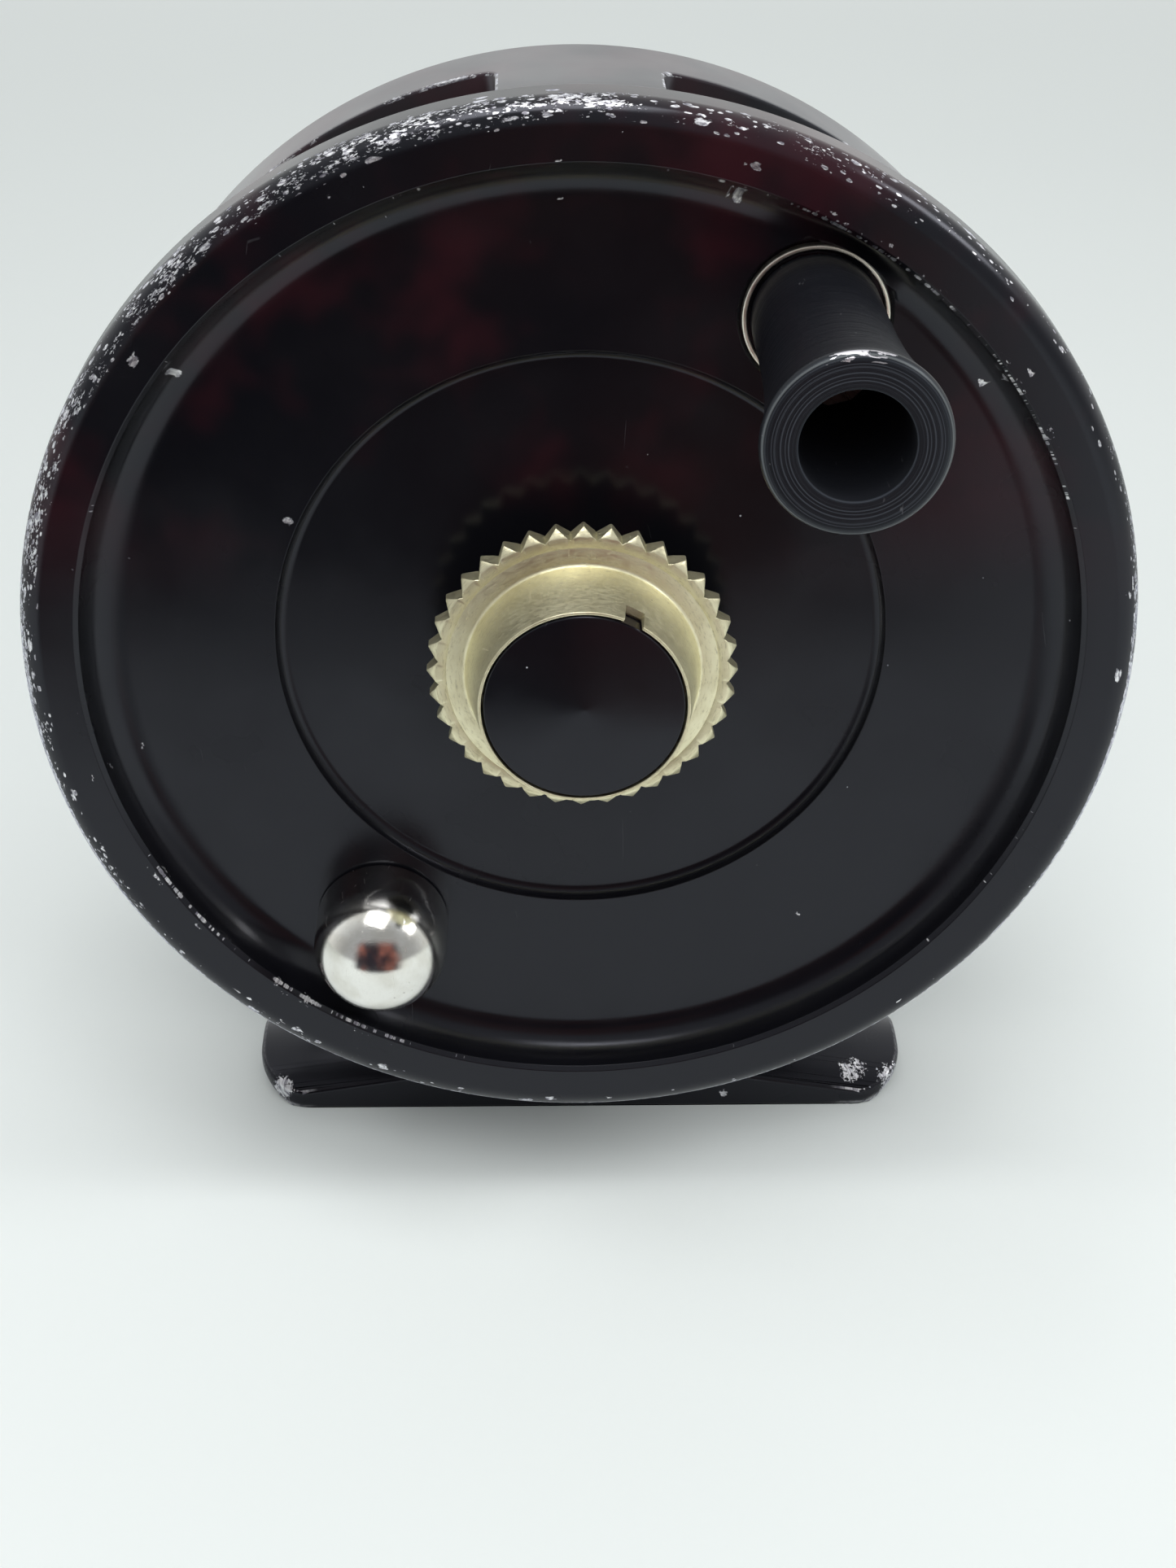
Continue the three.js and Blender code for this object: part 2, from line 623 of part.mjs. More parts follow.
function dragKnob() {
  const teeth = Array.from({ length: 2 * KNOB_TEETH }, (_, i) =>
    around(i % 2 ? KNOB_ROOT_RADIUS : KNOB_TIP_RADIUS, (i * 180) / KNOB_TEETH),
  );
  const envelope = turned(
    [
      [0, knobFlangeFront],
      [KNOB_BAND_RADIUS, knobFlangeFront],
      [KNOB_TIP_RADIUS, knobFlangeFront + KNOB_BEVEL],
      [KNOB_TIP_RADIUS, knobFlangeBack - KNOB_BACK_BEVEL],
      [KNOB_BAND_RADIUS, knobFlangeBack],
      [0, knobFlangeBack],
    ],
    2 * KNOB_TEETH,
  );
  const flange = plate(teeth, knobFlangeFront, knobFlangeBack).intersect(envelope);
  const boreEnd = spindleFront - FIT_GAP;
  const recess = knobFront + CAP_THICKNESS + SEAT_GAP;
  const body = turned(
    [
      [0, boreEnd],
      [0, recess],
      [CAP_RADIUS + SNUG_GAP, recess],
      [CAP_RADIUS + SNUG_GAP, knobFront],
      [KNOB_BOSS_TOP, knobFront],
      [KNOB_BOSS_BASE, knobFlangeFront],
      [KNOB_BOSS_BASE, knobFlangeBack],
      [KNOB_COLLAR_RADIUS, knobFlangeBack],
      [KNOB_COLLAR_RADIUS, knobCollarBack],
      [SPINDLE_RADIUS + FIT_GAP, knobCollarBack],
      [SPINDLE_RADIUS + FIT_GAP, boreEnd],
    ],
    MEDIUM,
  );
  const bore = bar(SPINDLE_RADIUS + FIT_GAP, boreEnd, knobCollarBack + KNOB_COLLAR, MEDIUM);
  const outside = KNOB_BOSS_BASE + OVERRUN;
  const notchSize = [outside - CAP_RADIUS, 2 * KNOB_NOTCH_DEPTH, KNOB_NOTCH_WIDTH];
  const notch = block([(CAP_RADIUS + outside) / 2, knobFront, 0], notchSize);
  return flange.add(body).subtract(bore).subtract(notch.rotate(0, -KNOB_NOTCH_ANGLE, 0));
}

function knobCap() {
  return turned(
    [
      [0, knobFront - CAP_CONE],
      [CAP_RADIUS - CAP_EDGE, knobFront],
      [CAP_RADIUS, knobFront + CAP_EDGE],
      [CAP_RADIUS, knobFront + CAP_THICKNESS],
      [0, knobFront + CAP_THICKNESS],
    ],
    MEDIUM,
  );
}

piece(onSpindle, "drag_knob", dragKnob(), nickelSilver);
piece(onSpindle, "knob_cap", knobCap(), blackGloss);

// ---------------------------------------------------------------- spool

const spoolScrewHead = gearBack + SEAT_GAP;
const spoolScrewFront = faceBack + FIT_GAP;

function spoolScrewPlaces() {
  return Array.from({ length: SPOOL_SCREW_COUNT }, (_, i) =>
    around(spoolScrewCircle, 90 + (360 * i) / SPOOL_SCREW_COUNT),
  );
}

function drillSpoolScrews(body) {
  const radius = SPOOL_SCREW_RADIUS + FIT_GAP;
  const drill = ([x, z]) => bar(radius, faceBack, gearBack + OVERRUN, TINY, x, z);
  return spoolScrewPlaces().reduce((rest, place) => rest.subtract(drill(place)), body);
}

function spoolFace() {
  const filletCentre = ringInner - DISH_FILLET;
  let face = turned(
    [
      [bushingBore, hubFront],
      [HUB_RADIUS - RIM_BACK_EDGE, hubFront],
      [HUB_RADIUS, hubFront + RIM_BACK_EDGE],
      [HUB_RADIUS, discDepth],
      ...oval(STEP_RADIUS - STEP_FILLET, DISH_DEPTH, STEP_FILLET, STEP_DEPTH, 90, 0, 2),
      ...arc(filletCentre, DISH_DEPTH - DISH_FILLET, DISH_FILLET, 90, 0, 4),
      [ringInner, DISH_EDGE],
      [ringInner + DISH_EDGE, 0],
      ...arc(RIM_RADIUS - RIM_SHOULDER, RIM_SHOULDER, RIM_SHOULDER, -90, 0, 4),
      [RIM_RADIUS, RIM_DEPTH - RIM_BACK_EDGE],
      [RIM_RADIUS - RIM_BACK_EDGE, RIM_DEPTH],
      [cageBore - REGISTER_GAP, RIM_DEPTH],
      [cageBore - REGISTER_GAP, faceBack],
      [spigotRadius, faceBack],
      [spigotRadius, faceBack + SPIGOT_LENGTH],
      [bushingBore, faceBack + SPIGOT_LENGTH],
    ],
    LARGE,
  );
  face = drillSpoolScrews(face);
  const pocket = collarRadius + SNUG_GAP;
  const front = DISH_DEPTH - OVERRUN;
  face = face.subtract(bar(pocket, front, pocketFloor, SMALL, handleX, handleZ));
  const stud = HANDLE_STUD_RADIUS + FIT_GAP;
  face = face.subtract(bar(stud, front, faceBack + OVERRUN, TINY, handleX, handleZ));
  return face.subtract(weightScrewShape(countersunkHole));
}

function spoolFlange() {
  const flangeRadius = cageBore - FLANGE_GAP;
  return drillSpoolScrews(
    turned(
      [
        [bushingBore, flangeFront - SPIGOT_LENGTH],
        [spigotRadius, flangeFront - SPIGOT_LENGTH],
        [spigotRadius, flangeFront],
        [flangeRadius - RIM_BACK_EDGE, flangeFront],
        [flangeRadius, flangeFront + RIM_BACK_EDGE],
        [flangeRadius, flangeBack - RIM_BACK_EDGE],
        [flangeRadius - RIM_BACK_EDGE, flangeBack],
        [bushingBore, flangeBack],
      ],
      LARGE,
    ),
  );
}

function spoolScrew([x, z]) {
  const screw = turned(
    [
      [0, spoolScrewFront],
      [SPOOL_SCREW_RADIUS, spoolScrewFront],
      [SPOOL_SCREW_RADIUS, spoolScrewHead],
      [SPOOL_SCREW_HEAD, spoolScrewHead],
      [SPOOL_SCREW_HEAD, spoolScrewHead + SPOOL_SCREW_HEAD_HEIGHT],
      [0, spoolScrewHead + SPOOL_SCREW_HEAD_HEIGHT],
    ],
    TINY,
    x,
    z,
  );
  return screw.subtract(slotCut(SPOOL_SCREW_HEAD, spoolScrewHead + SPOOL_SCREW_HEAD_HEIGHT, x, z));
}

function clickGear() {
  const pitch = 360 / GEAR_TEETH;
  const teeth = Array.from({ length: 2 * GEAR_TEETH }, (_, i) =>
    around(i % 2 ? GEAR_TIP_RADIUS : GEAR_ROOT_RADIUS, (i * pitch) / 2),
  );
  const disc = plate(teeth, gearFront, gearBack);
  const bore = bar(gearBore, gearFront - OVERRUN, gearBack + OVERRUN, SMALL);
  return drillSpoolScrews(disc.subtract(bore));
}

const bushing = (from, to) => ring(spindleHole, bushingRadius, from, to, SMALL);
const arborRing = ring(arborBore, ARBOR_RADIUS, faceBack + SEAT_GAP, flangeFront - SEAT_GAP, MEDIUM);

piece(onSpindle, "spool_face", spoolFace(), blackGloss);
piece(onSpindle, "spool_arbor", arborRing, blackSatin);
piece(onSpindle, "spool_flange", spoolFlange(), blackGloss);
piece(onSpindle, "front_bushing", bushing(hubFront + SEAT_GAP, faceBack + SPIGOT_LENGTH), bronze);
piece(onSpindle, "rear_bushing", bushing(flangeFront - SPIGOT_LENGTH, flangeBack - SEAT_GAP), bronze);
piece(onSpindle, "click_gear", clickGear(), bronze);
spoolScrewPlaces().forEach((place, i) => {
  piece(onSpindle, `spool_screw_${i + 1}`, spoolScrew(place), steel);
});

// ---------------------------------------------------------------- handle and counterweight

function handleGrip() {
  const outer = new THREE.CubicBezierCurve(
    new THREE.Vector2(HANDLE_BASE_RADIUS, gripBase),
    new THREE.Vector2(HANDLE_BASE_RADIUS, gripBase - HANDLE_LENGTH * HANDLE_STRAIGHT),
    new THREE.Vector2(HANDLE_BASE_RADIUS + HANDLE_SWELL, gripBase - HANDLE_LENGTH * HANDLE_FLARE),
    new THREE.Vector2(HANDLE_TIP_RADIUS, gripTip + HANDLE_EDGE),
  );
  const postHole = HANDLE_POST_RADIUS + RUN_GAP;
  return turned(
    [
      [postHole, gripBase],
      [postHole, gripShoulder],
      [HANDLE_HOLE_RADIUS, gripShoulder],
      [HANDLE_HOLE_RADIUS, gripTip],
      ...arc(HANDLE_TIP_RADIUS - HANDLE_EDGE, gripTip + HANDLE_EDGE, HANDLE_EDGE, -90, -30, 2),
      ...outer.getPoints(7).map((p) => [p.x, p.y]).reverse(),
    ],
    SMALL,
    handleX,
    handleZ,
  );
}

function handlePost() {
  const bore = HANDLE_SCREW_RADIUS + FIT_GAP;
  const boreEnd = postFront + HANDLE_SCREW_LENGTH + FIT_GAP;
  return turned(
    [
      [0, boreEnd],
      [bore, boreEnd],
      [bore, postFront],
      [HANDLE_POST_RADIUS, postFront],
      [HANDLE_POST_RADIUS, postSeat - HANDLE_POST_FLANGE],
      [HANDLE_BASE_RADIUS - FIT_GAP, postSeat - HANDLE_POST_FLANGE],
      [HANDLE_BASE_RADIUS - FIT_GAP, postSeat],
      [HANDLE_STUD_RADIUS, postSeat],
      [HANDLE_STUD_RADIUS, faceBack],
      [0, faceBack],
    ],
    SMALL,
    handleX,
    handleZ,
  );
}

function handleScrew() {
  const under = postFront - SEAT_GAP;
  const head = under - HANDLE_SCREW_HEAD_HEIGHT;
  const screw = turned(
    [
      [0, head],
      [HANDLE_SCREW_HEAD, head],
      [HANDLE_SCREW_HEAD, under],
      [HANDLE_SCREW_RADIUS, under],
      [HANDLE_SCREW_RADIUS, under + HANDLE_SCREW_LENGTH],
      [0, under + HANDLE_SCREW_LENGTH],
    ],
    TINY,
    handleX,
    handleZ,
  );
  return screw.subtract(slotCut(HANDLE_SCREW_HEAD, head, handleX, handleZ));
}

const handleCollar = ring(
  collarRadius - HANDLE_COLLAR_WALL,
  collarRadius,
  DISH_DEPTH - HANDLE_COLLAR_RISE,
  pocketFloor - SEAT_GAP,
  SMALL,
  handleX,
  handleZ,
);

// The counterweight's screw, from behind the face, or the hole for it.
function weightScrewShape(outline) {
  const back = faceBack - SEAT_GAP;
  const end = back - WEIGHT_SCREW_HEAD + WEIGHT_SCREW_RADIUS - WEIGHT_SCREW_LENGTH;
  return turned(outline(WEIGHT_SCREW_RADIUS, WEIGHT_SCREW_HEAD, end, back), TINY, weightX, weightZ);
}

function counterweight() {
  const base = DISH_DEPTH - SEAT_GAP;
  const tip = DISH_DEPTH - WEIGHT_HEIGHT;
  const ball = arc(0, tip + WEIGHT_RADIUS, WEIGHT_RADIUS, -90, 0, 6);
  const body = turned([...ball, [WEIGHT_RADIUS, base], [0, base]], SMALL, weightX, weightZ);
  return body.subtract(weightScrewShape(countersunkHole));
}

piece(onSpindle, "handle_post", handlePost(), steel);
piece(onSpindle, "handle_collar", handleCollar, brightNickel);
piece(onSpindle, "handle_grip", handleGrip(), blackSatin);
piece(onSpindle, "handle_screw", handleScrew(), steel);
piece(onSpindle, "counterweight", counterweight(), aluminium);
piece(onSpindle, "counterweight_screw", weightScrewShape(countersunk), steel);

// ---------------------------------------------------------------- click

// A straight pin through the back with a countersunk head outside, or the hole for it.
function postOutline(outline) {
  return outline(POST_RADIUS, POST_HEAD, pawlFront, backRecessed);
}

function clickPost(x, z) {
  return turned(postOutline(countersunk), TINY, x, z).subtract(slotCut(POST_HEAD, backRecessed, x, z));
}

function spacer(x, z) {
  const bore = POST_RADIUS + FIT_GAP;
  return ring(bore, SPACER_RADIUS, pawlBack + SEAT_GAP, backInside - SEAT_GAP, TINY, x, z);
}

// The pawl: an eye round its post and an arm that ends in a point between two teeth.
function clickPawl() {
  const root = -pawlTip - PAWL_POINT_LENGTH;
  const arm = plate(
    [
      [0, -pawlTip],
      [PAWL_POINT_HALF, root],
      [PAWL_X, -PAWL_DROP + PAWL_ARM],
      [PAWL_X, -PAWL_DROP - PAWL_ARM],
      [-PAWL_POINT_HALF / 2, root - PAWL_ARM],
      [-PAWL_POINT_HALF, root],
    ],
    pawlFront,
    pawlBack,
  );
  const eye = bar(PAWL_EYE_RADIUS, pawlFront, pawlBack, SMALL, PAWL_X, -PAWL_DROP);
  const bore = POST_RADIUS + RUN_GAP;
  const hole = bar(bore, pawlFront - OVERRUN, pawlBack + OVERRUN, SMALL, PAWL_X, -PAWL_DROP);
  return arm.add(eye).subtract(hole);
}

// A leaf spring from its own post to the underside of the pawl's arm.
function pawlSpring() {
  const half = SPRING_THICKNESS / 2;
  const underArm = -pawlTip - PAWL_POINT_LENGTH - PAWL_ARM - FIT_GAP - half;
  const eyeRadius = POST_RADIUS + FIT_GAP + SPRING_EYE_WALL;
  const path = new THREE.QuadraticBezierCurve(
    new THREE.Vector2(SPRING_POST_X, -SPRING_POST_DROP - eyeRadius + half),
    new THREE.Vector2((SPRING_POST_X + SPRING_END_X) / 2, -SPRING_POST_DROP - eyeRadius),
    new THREE.Vector2(SPRING_END_X, underArm - SPRING_END_GAP),
  );
  const steps = 8;
  const side = (offset) =>
    Array.from({ length: steps + 1 }, (_, i) => {
      const at = path.getPoint(i / steps);
      const along = path.getTangent(i / steps);
      return [at.x - along.y * offset, at.y + along.x * offset];
    });
  const back = pawlFront + SPRING_WIDTH;
  const leaf = plate([...side(half), ...side(-half).reverse()], pawlFront, back);
  const eye = bar(eyeRadius, pawlFront, back, TINY, SPRING_POST_X, -SPRING_POST_DROP);
  const bore = POST_RADIUS + FIT_GAP;
  const hole = bar(bore, pawlFront - OVERRUN, back + OVERRUN, TINY, SPRING_POST_X, -SPRING_POST_DROP);
  return leaf.add(eye).subtract(hole);
}

piece(onSpindle, "click_pawl", clickPawl(), steel);
piece(onSpindle, "pawl_post", clickPost(PAWL_X, -PAWL_DROP), steel);
piece(onSpindle, "pawl_spacer", spacer(PAWL_X, -PAWL_DROP), bronze);
piece(onSpindle, "pawl_spring", pawlSpring(), steel);
piece(onSpindle, "spring_post", clickPost(SPRING_POST_X, -SPRING_POST_DROP), steel);
piece(onSpindle, "spring_spacer", spacer(SPRING_POST_X, -SPRING_POST_DROP), bronze);

export default reel;
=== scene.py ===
"""Fly reel: the fine visible pieces, their finishes and a plain studio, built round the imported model.

Sizes are in millimetres in the classes and become metres through MM. A depth runs back along +Y
from the front of the spool's rim, and a radius is measured from the line that a piece is turned on.
"""

import logging
import math
from dataclasses import dataclass
from enum import Enum
from typing import Any, Callable, Sequence

import bmesh
import bpy
from mathutils import Matrix, Vector


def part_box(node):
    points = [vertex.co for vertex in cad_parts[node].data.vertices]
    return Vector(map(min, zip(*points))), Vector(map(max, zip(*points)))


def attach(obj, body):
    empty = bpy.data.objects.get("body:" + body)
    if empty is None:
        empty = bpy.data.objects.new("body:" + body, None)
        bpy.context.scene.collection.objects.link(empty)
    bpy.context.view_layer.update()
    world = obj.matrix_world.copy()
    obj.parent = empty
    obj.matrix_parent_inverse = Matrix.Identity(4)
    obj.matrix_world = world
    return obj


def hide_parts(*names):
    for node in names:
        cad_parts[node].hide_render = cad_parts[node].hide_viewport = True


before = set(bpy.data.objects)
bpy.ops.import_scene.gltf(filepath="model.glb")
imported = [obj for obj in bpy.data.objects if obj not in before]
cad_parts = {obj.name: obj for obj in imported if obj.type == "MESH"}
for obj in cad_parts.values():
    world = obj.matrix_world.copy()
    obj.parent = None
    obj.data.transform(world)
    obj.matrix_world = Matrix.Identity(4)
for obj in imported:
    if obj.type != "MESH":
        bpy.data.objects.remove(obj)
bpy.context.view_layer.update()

LOG = logging.getLogger("fly_reel")
MM = 0.001

Point = tuple[float, float]
Corner = tuple[float, float, float]
Colour = tuple[float, float, float, float]
Piece = bpy.types.Object
Material = bpy.types.Material
Tree = bpy.types.NodeTree
Node = bpy.types.Node
Socket = bpy.types.NodeSocket
Edge = bmesh.types.BMEdge


# ---------------------------------------------------------------- outlines


def rounded(corners: Sequence[Corner], closed: bool = False) -> list[Point]:
    """Round the corners of an outline.

    Args:
        corners: Radius, depth and rounding of each corner, in order.
        closed: Whether the last corner leads back to the first.

    Returns:
        The points of the outline, with each rounding as an arc of short steps.
    """
    step = math.radians(11)
    points: list[Point] = []
    count = len(corners)
    for index, (radius, depth, rounding) in enumerate(corners):
        if rounding == 0 or (not closed and index in (0, count - 1)):
            points.append((radius, depth))
            continue
        here = Vector((radius, depth))
        back = (Vector(corners[index - 1][:2]) - here).normalized()
        ahead = (Vector(corners[(index + 1) % count][:2]) - here).normalized()
        half = back.angle(ahead) / 2
        middle = here + (back + ahead).normalized() * (rounding / math.sin(half))
        start = here + back * (rounding / math.tan(half)) - middle
        end = here + ahead * (rounding / math.tan(half)) - middle
        sweep = start.angle_signed(end)
        steps = max(2, math.ceil(abs(sweep) / step))
        for i in range(steps + 1):
            turned = start.copy()
            turned.rotate(Matrix.Rotation(-sweep * i / steps, 2))
            points.append(tuple(middle + turned))
    return points


def bezier(a: Point, b: Point, c: Point, d: Point, steps: int) -> list[Point]:
    """Points along a cubic curve from a to d, pulled towards b and c."""
    points = []
    for i in range(steps + 1):
        t = i / steps
        s = 1 - t
        weights = (s**3, 3 * s * s * t, 3 * s * t * t, t**3)
        points.append(
            tuple(sum(w * p[k] for w, p in zip(weights, (a, b, c, d))) for k in (0, 1))
        )
    return points


@dataclass(frozen=True)
class Axis:
    """A line along Y that pieces are turned on, with the place where depths start. Metres."""

    x: float
    z: float
    front: float

    def point(self, depth: float, across: float = 0, up: float = 0) -> Vector:
        """A point at a depth, some way across and up from the line, all in millimetres."""
        return Vector((self.x + across * MM, self.front + depth * MM, self.z + up * MM))

    def around(self, radius: float, degrees: float, depth: float) -> Vector:
        """A point at a radius and an angle, which runs from +X towards +Z."""
        angle = math.radians(degrees)
        return self.point(depth, radius * math.cos(angle), radius * math.sin(angle))


# ---------------------------------------------------------------- the bench


class Cut(Enum):
    """What a second solid does to a piece."""

    AWAY = "DIFFERENCE"
    ADD = "UNION"
    KEEP = "INTERSECT"


class Bench:
    """Shapes pieces with Blender's modelling tools."""

    @staticmethod
    def clear() -> None:
        """Leave edit mode with nothing selected."""
        if bpy.context.mode != "OBJECT":
            bpy.ops.object.mode_set(mode="OBJECT")
        bpy.ops.object.select_all(action="DESELECT")

    @staticmethod
    def take(piece: Piece) -> None:
        """Select one piece alone and make it the active one."""
        Bench.clear()
        piece.select_set(True)
        bpy.context.view_layer.objects.active = piece

    @staticmethod
    def edit(piece: Piece) -> None:
        """Open one piece in edit mode with all of it selected."""
        Bench.take(piece)
        bpy.ops.object.mode_set(mode="EDIT")
        bpy.ops.mesh.select_all(action="SELECT")

    @staticmethod
    def settle(name: str) -> Piece:
        """Name the active piece and put its place into its mesh."""
        piece = bpy.context.object
        piece.name = name
        piece.data.name = name
        bpy.ops.object.transform_apply(location=True, rotation=True, scale=True)
        return piece

    @staticmethod
    def pick(piece: Piece, part: str, test: Callable[[Any], bool]) -> int:
        """Select the vertices, edges or faces that pass a test, in edit mode.

        Args:
            piece: The piece in edit mode.
            part: VERT, EDGE or FACE.
            test: Says whether to select a bmesh element.

        Returns:
            How many were selected.
        """
        bpy.ops.mesh.select_mode(type=part)
        bpy.ops.mesh.select_all(action="DESELECT")
        shape = bmesh.from_edit_mesh(piece.data)
        elements = {"VERT": shape.verts, "EDGE": shape.edges, "FACE": shape.faces}[part]
        chosen = [element for element in elements if test(element)]
        for element in chosen:
            element.select_set(True)
        bmesh.update_edit_mesh(piece.data)
        return len(chosen)

    @staticmethod
    def close(piece: Piece, merge: float = 0.001) -> None:
        """Merge what meets within a distance in millimetres, and turn the faces outwards."""
        bpy.ops.mesh.select_all(action="SELECT")
        bpy.ops.mesh.remove_doubles(threshold=merge * MM)
        bpy.ops.mesh.normals_make_consistent(inside=False)
        bpy.ops.object.mode_set(mode="OBJECT")

    @staticmethod
    def turn(
        name: str, points: Sequence[Point], axis: Axis, sides: int, hollow: bool = False
    ) -> Piece:
        """Turn an outline of radius and depth points, as on a lathe.

        Args:
            name: The piece's name.
            points: The outline in millimetres; a hollow one leads back to its start.
            axis: The line to turn it on.
            sides: How many facets go round.
            hollow: Whether the piece has a bore, instead of closed ends.

        Returns:
            The closed piece.
        """
        Bench.clear()
        radius, depth = points[0]
        bpy.ops.mesh.primitive_circle_add(
            vertices=sides,
            radius=radius * MM,
            fill_type="NOTHING" if hollow else "NGON",
            location=axis.point(depth),
            rotation=(math.pi / 2, 0, 0),
        )
        piece = Bench.settle(name)
        Bench.edit(piece)
        route = [*points[1:], points[0]] if hollow else points[1:]
        for next_radius, next_depth in route:
            move = {"value": (0, (next_depth - depth) * MM, 0)}
            bpy.ops.mesh.extrude_region_move(TRANSFORM_OT_translate=move)
            share = next_radius / radius
            bpy.ops.transform.resize(value=(share, 1, share), center_override=axis.point(next_depth))
            radius, depth = next_radius, next_depth
        Bench.close(piece)
        return piece

    @staticmethod
    def block(name: str, middle: Vector, size: Sequence[float]) -> Piece:
        """A block by its middle in metres and its size in millimetres."""
        Bench.clear()
        bpy.ops.mesh.primitive_cube_add(size=1, location=middle)
        bpy.context.object.scale = [side * MM for side in size]
        return Bench.settle(name)

    @staticmethod
    def rod(
        name: str, radius: float, length: float, middle: Vector, turn: Sequence[float], sides: int
    ) -> Piece:
        """A round bar by its middle in metres, its sizes in millimetres and its rotation."""
        Bench.clear()
        bpy.ops.mesh.primitive_cylinder_add(
            vertices=sides, radius=radius * MM, depth=length * MM, location=middle, rotation=turn
        )
        return Bench.settle(name)

    @staticmethod
    def use(piece: Piece, kind: str, **settings: Any) -> None:
        """Add a modifier to a piece, set it and apply it."""
        Bench.take(piece)
        bpy.ops.object.modifier_add(type=kind)
        modifier = piece.modifiers[-1]
        for key, value in settings.items():
            setattr(modifier, key, value)
        bpy.ops.object.modifier_apply(modifier=modifier.name)

    @staticmethod
    def combine(piece: Piece, other: Piece, how: Cut) -> Piece:
        """Cut, join or keep the common part with another solid, which is used up."""
        Bench.use(piece, "BOOLEAN", object=other, operation=how.value, solver="EXACT")
        bpy.data.objects.remove(other)
        return piece

    @staticmethod
    def soften(
        piece: Piece,
        width: float,
        test: Callable[[Edge], bool],
        segments: int = 2,
        place: int = -1,
    ) -> None:
        """Round the edges that pass a test.

        Args:
            piece: The piece.
            width: The width of the rounding in millimetres.
            test: Says whether to round an edge.
            segments: How many facets the rounding has.
            place: The material place that the rounding is given, or -1 to keep its neighbour's.
        """
        Bench.edit(piece)
        if Bench.pick(piece, "EDGE", test):
            bpy.ops.mesh.bevel(
                offset=width * MM,
                segments=segments,
                affect="EDGES",
                clamp_overlap=False,
                material=place,
            )
        Bench.close(piece)

    @staticmethod
    def smooth(piece: Piece, degrees: float = 34) -> Piece:
        """Shade a piece smooth, with flat faces kept flat beside their rounded edges."""
        Bench.take(piece)
        bpy.ops.object.shade_smooth_by_angle(angle=math.radians(degrees))
        Bench.use(piece, "WEIGHTED_NORMAL", keep_sharp=True, weight=80)
        return piece


def sharp(edge: Edge, degrees: float = 40) -> bool:
    """Whether an edge is an outward corner of more than some degrees."""
    return edge.is_manifold and edge.is_convex and edge.calc_face_angle(0) > math.radians(degrees)


# ---------------------------------------------------------------- node graphs


class Graph:
    """A shader tree that is being wired."""

    def __init__(self, tree: Tree) -> None:
        """Keep the tree that nodes are added to."""
        self.tree = tree

    def add(self, kind: str, feeds: dict[Any, Any] | None = None, **settings: Any) -> Node:
        """Add a node.

        Args:
            kind: Blender's name for the node.
            feeds: What goes into its inputs: another node's output, or a value.
            settings: Its own properties.

        Returns:
            The node.
        """
        node = self.tree.nodes.new(kind)
        for key, value in settings.items():
            setattr(node, key, value)
        for key, value in (feeds or {}).items():
            self.feed(node.inputs[key], value)
        return node

    def feed(self, socket: Socket, value: Any) -> None:
        """Link an output to a socket, or set the socket's value."""
        if isinstance(value, Socket):
            self.tree.links.new(value, socket)
        else:
            socket.default_value = value

    def math(self, operation: str, a: Any, b: Any = 0.0) -> Socket:
        """One step of arithmetic."""
        return self.add("ShaderNodeMath", {0: a, 1: b}, operation=operation).outputs[0]

    def times(self, a: Any, b: Any) -> Socket:
        """The product of two values."""
        return self.math("MULTIPLY", a, b)

    def part(self, vector: Any, index: int) -> Socket:
        """The X, Y or Z of a vector, by its index."""
        return self.add("ShaderNodeSeparateXYZ", {0: vector}).outputs[index]

    def vector(self, operation: str, a: Any, b: Any = (0.0, 0.0, 0.0)) -> Node:
        """One step of arithmetic on vectors."""
        return self.add("ShaderNodeVectorMath", {0: a, 1: b}, operation=operation)

    def remap(
        self, value: Any, low: Any, high: Any, to_low: float = 0.0, to_high: float = 1.0
    ) -> Socket:
        """Map a value smoothly from one range to another, held at its ends."""
        feeds = {"Value": value, "From Min": low, "From Max": high, "To Min": to_low, "To Max": to_high}
        node = self.add("ShaderNodeMapRange", feeds, interpolation_type="SMOOTHSTEP")
        return node.outputs["Result"]

    def band(self, value: Any, low: float, high: float, edge: float) -> Socket:
        """One between two values, with soft ends."""
        rise = self.remap(value, low - edge, low + edge)
        fall = self.remap(value, high - edge, high + edge, 1.0, 0.0)
        return self.times(rise, fall)

    def mix(self, factor: Any, a: Any, b: Any) -> Socket:
        """Mix two colours."""
        node = self.add("ShaderNodeMix", {0: factor, 6: a, 7: b}, data_type="RGBA")
        return node.outputs[2]

    def blend(self, factor: Any, a: Any, b: Any) -> Socket:
        """Mix two values."""
        node = self.add("ShaderNodeMix", {0: factor, 2: a, 3: b}, data_type="FLOAT")
        return node.outputs[0]

    def most(self, *values: Any) -> Socket:
        """The largest of several values."""
        result = values[0]
        for value in values[1:]:
            result = self.math("MAXIMUM", result, value)
        return result

    def noise(
        self, vector: Any, scale: Any, detail: float = 2.0, roughness: float = 0.5, bend: float = 0.0
    ) -> Socket:
        """Smooth noise round a half."""
        feeds = {
            "Vector": vector,
            "Scale": scale,
            "Detail": detail,
            "Roughness": roughness,
            "Distortion": bend,
        }
        return self.add("ShaderNodeTexNoise", feeds).outputs[0]

    def effect(self, kind: "Effect", **feeds: Any) -> Node:
        """Place one of the shared effects, with its own values."""
        node = self.add("ShaderNodeGroup", node_tree=Effects.tree(kind))
        for key, value in feeds.items():
            self.feed(node.inputs[key], value)
        return node

    def mask(self, kind: "Effect", **feeds: Any) -> Socket:
        """The first output of a shared effect, which is where it shows."""
        return self.effect(kind, **feeds).outputs[0]


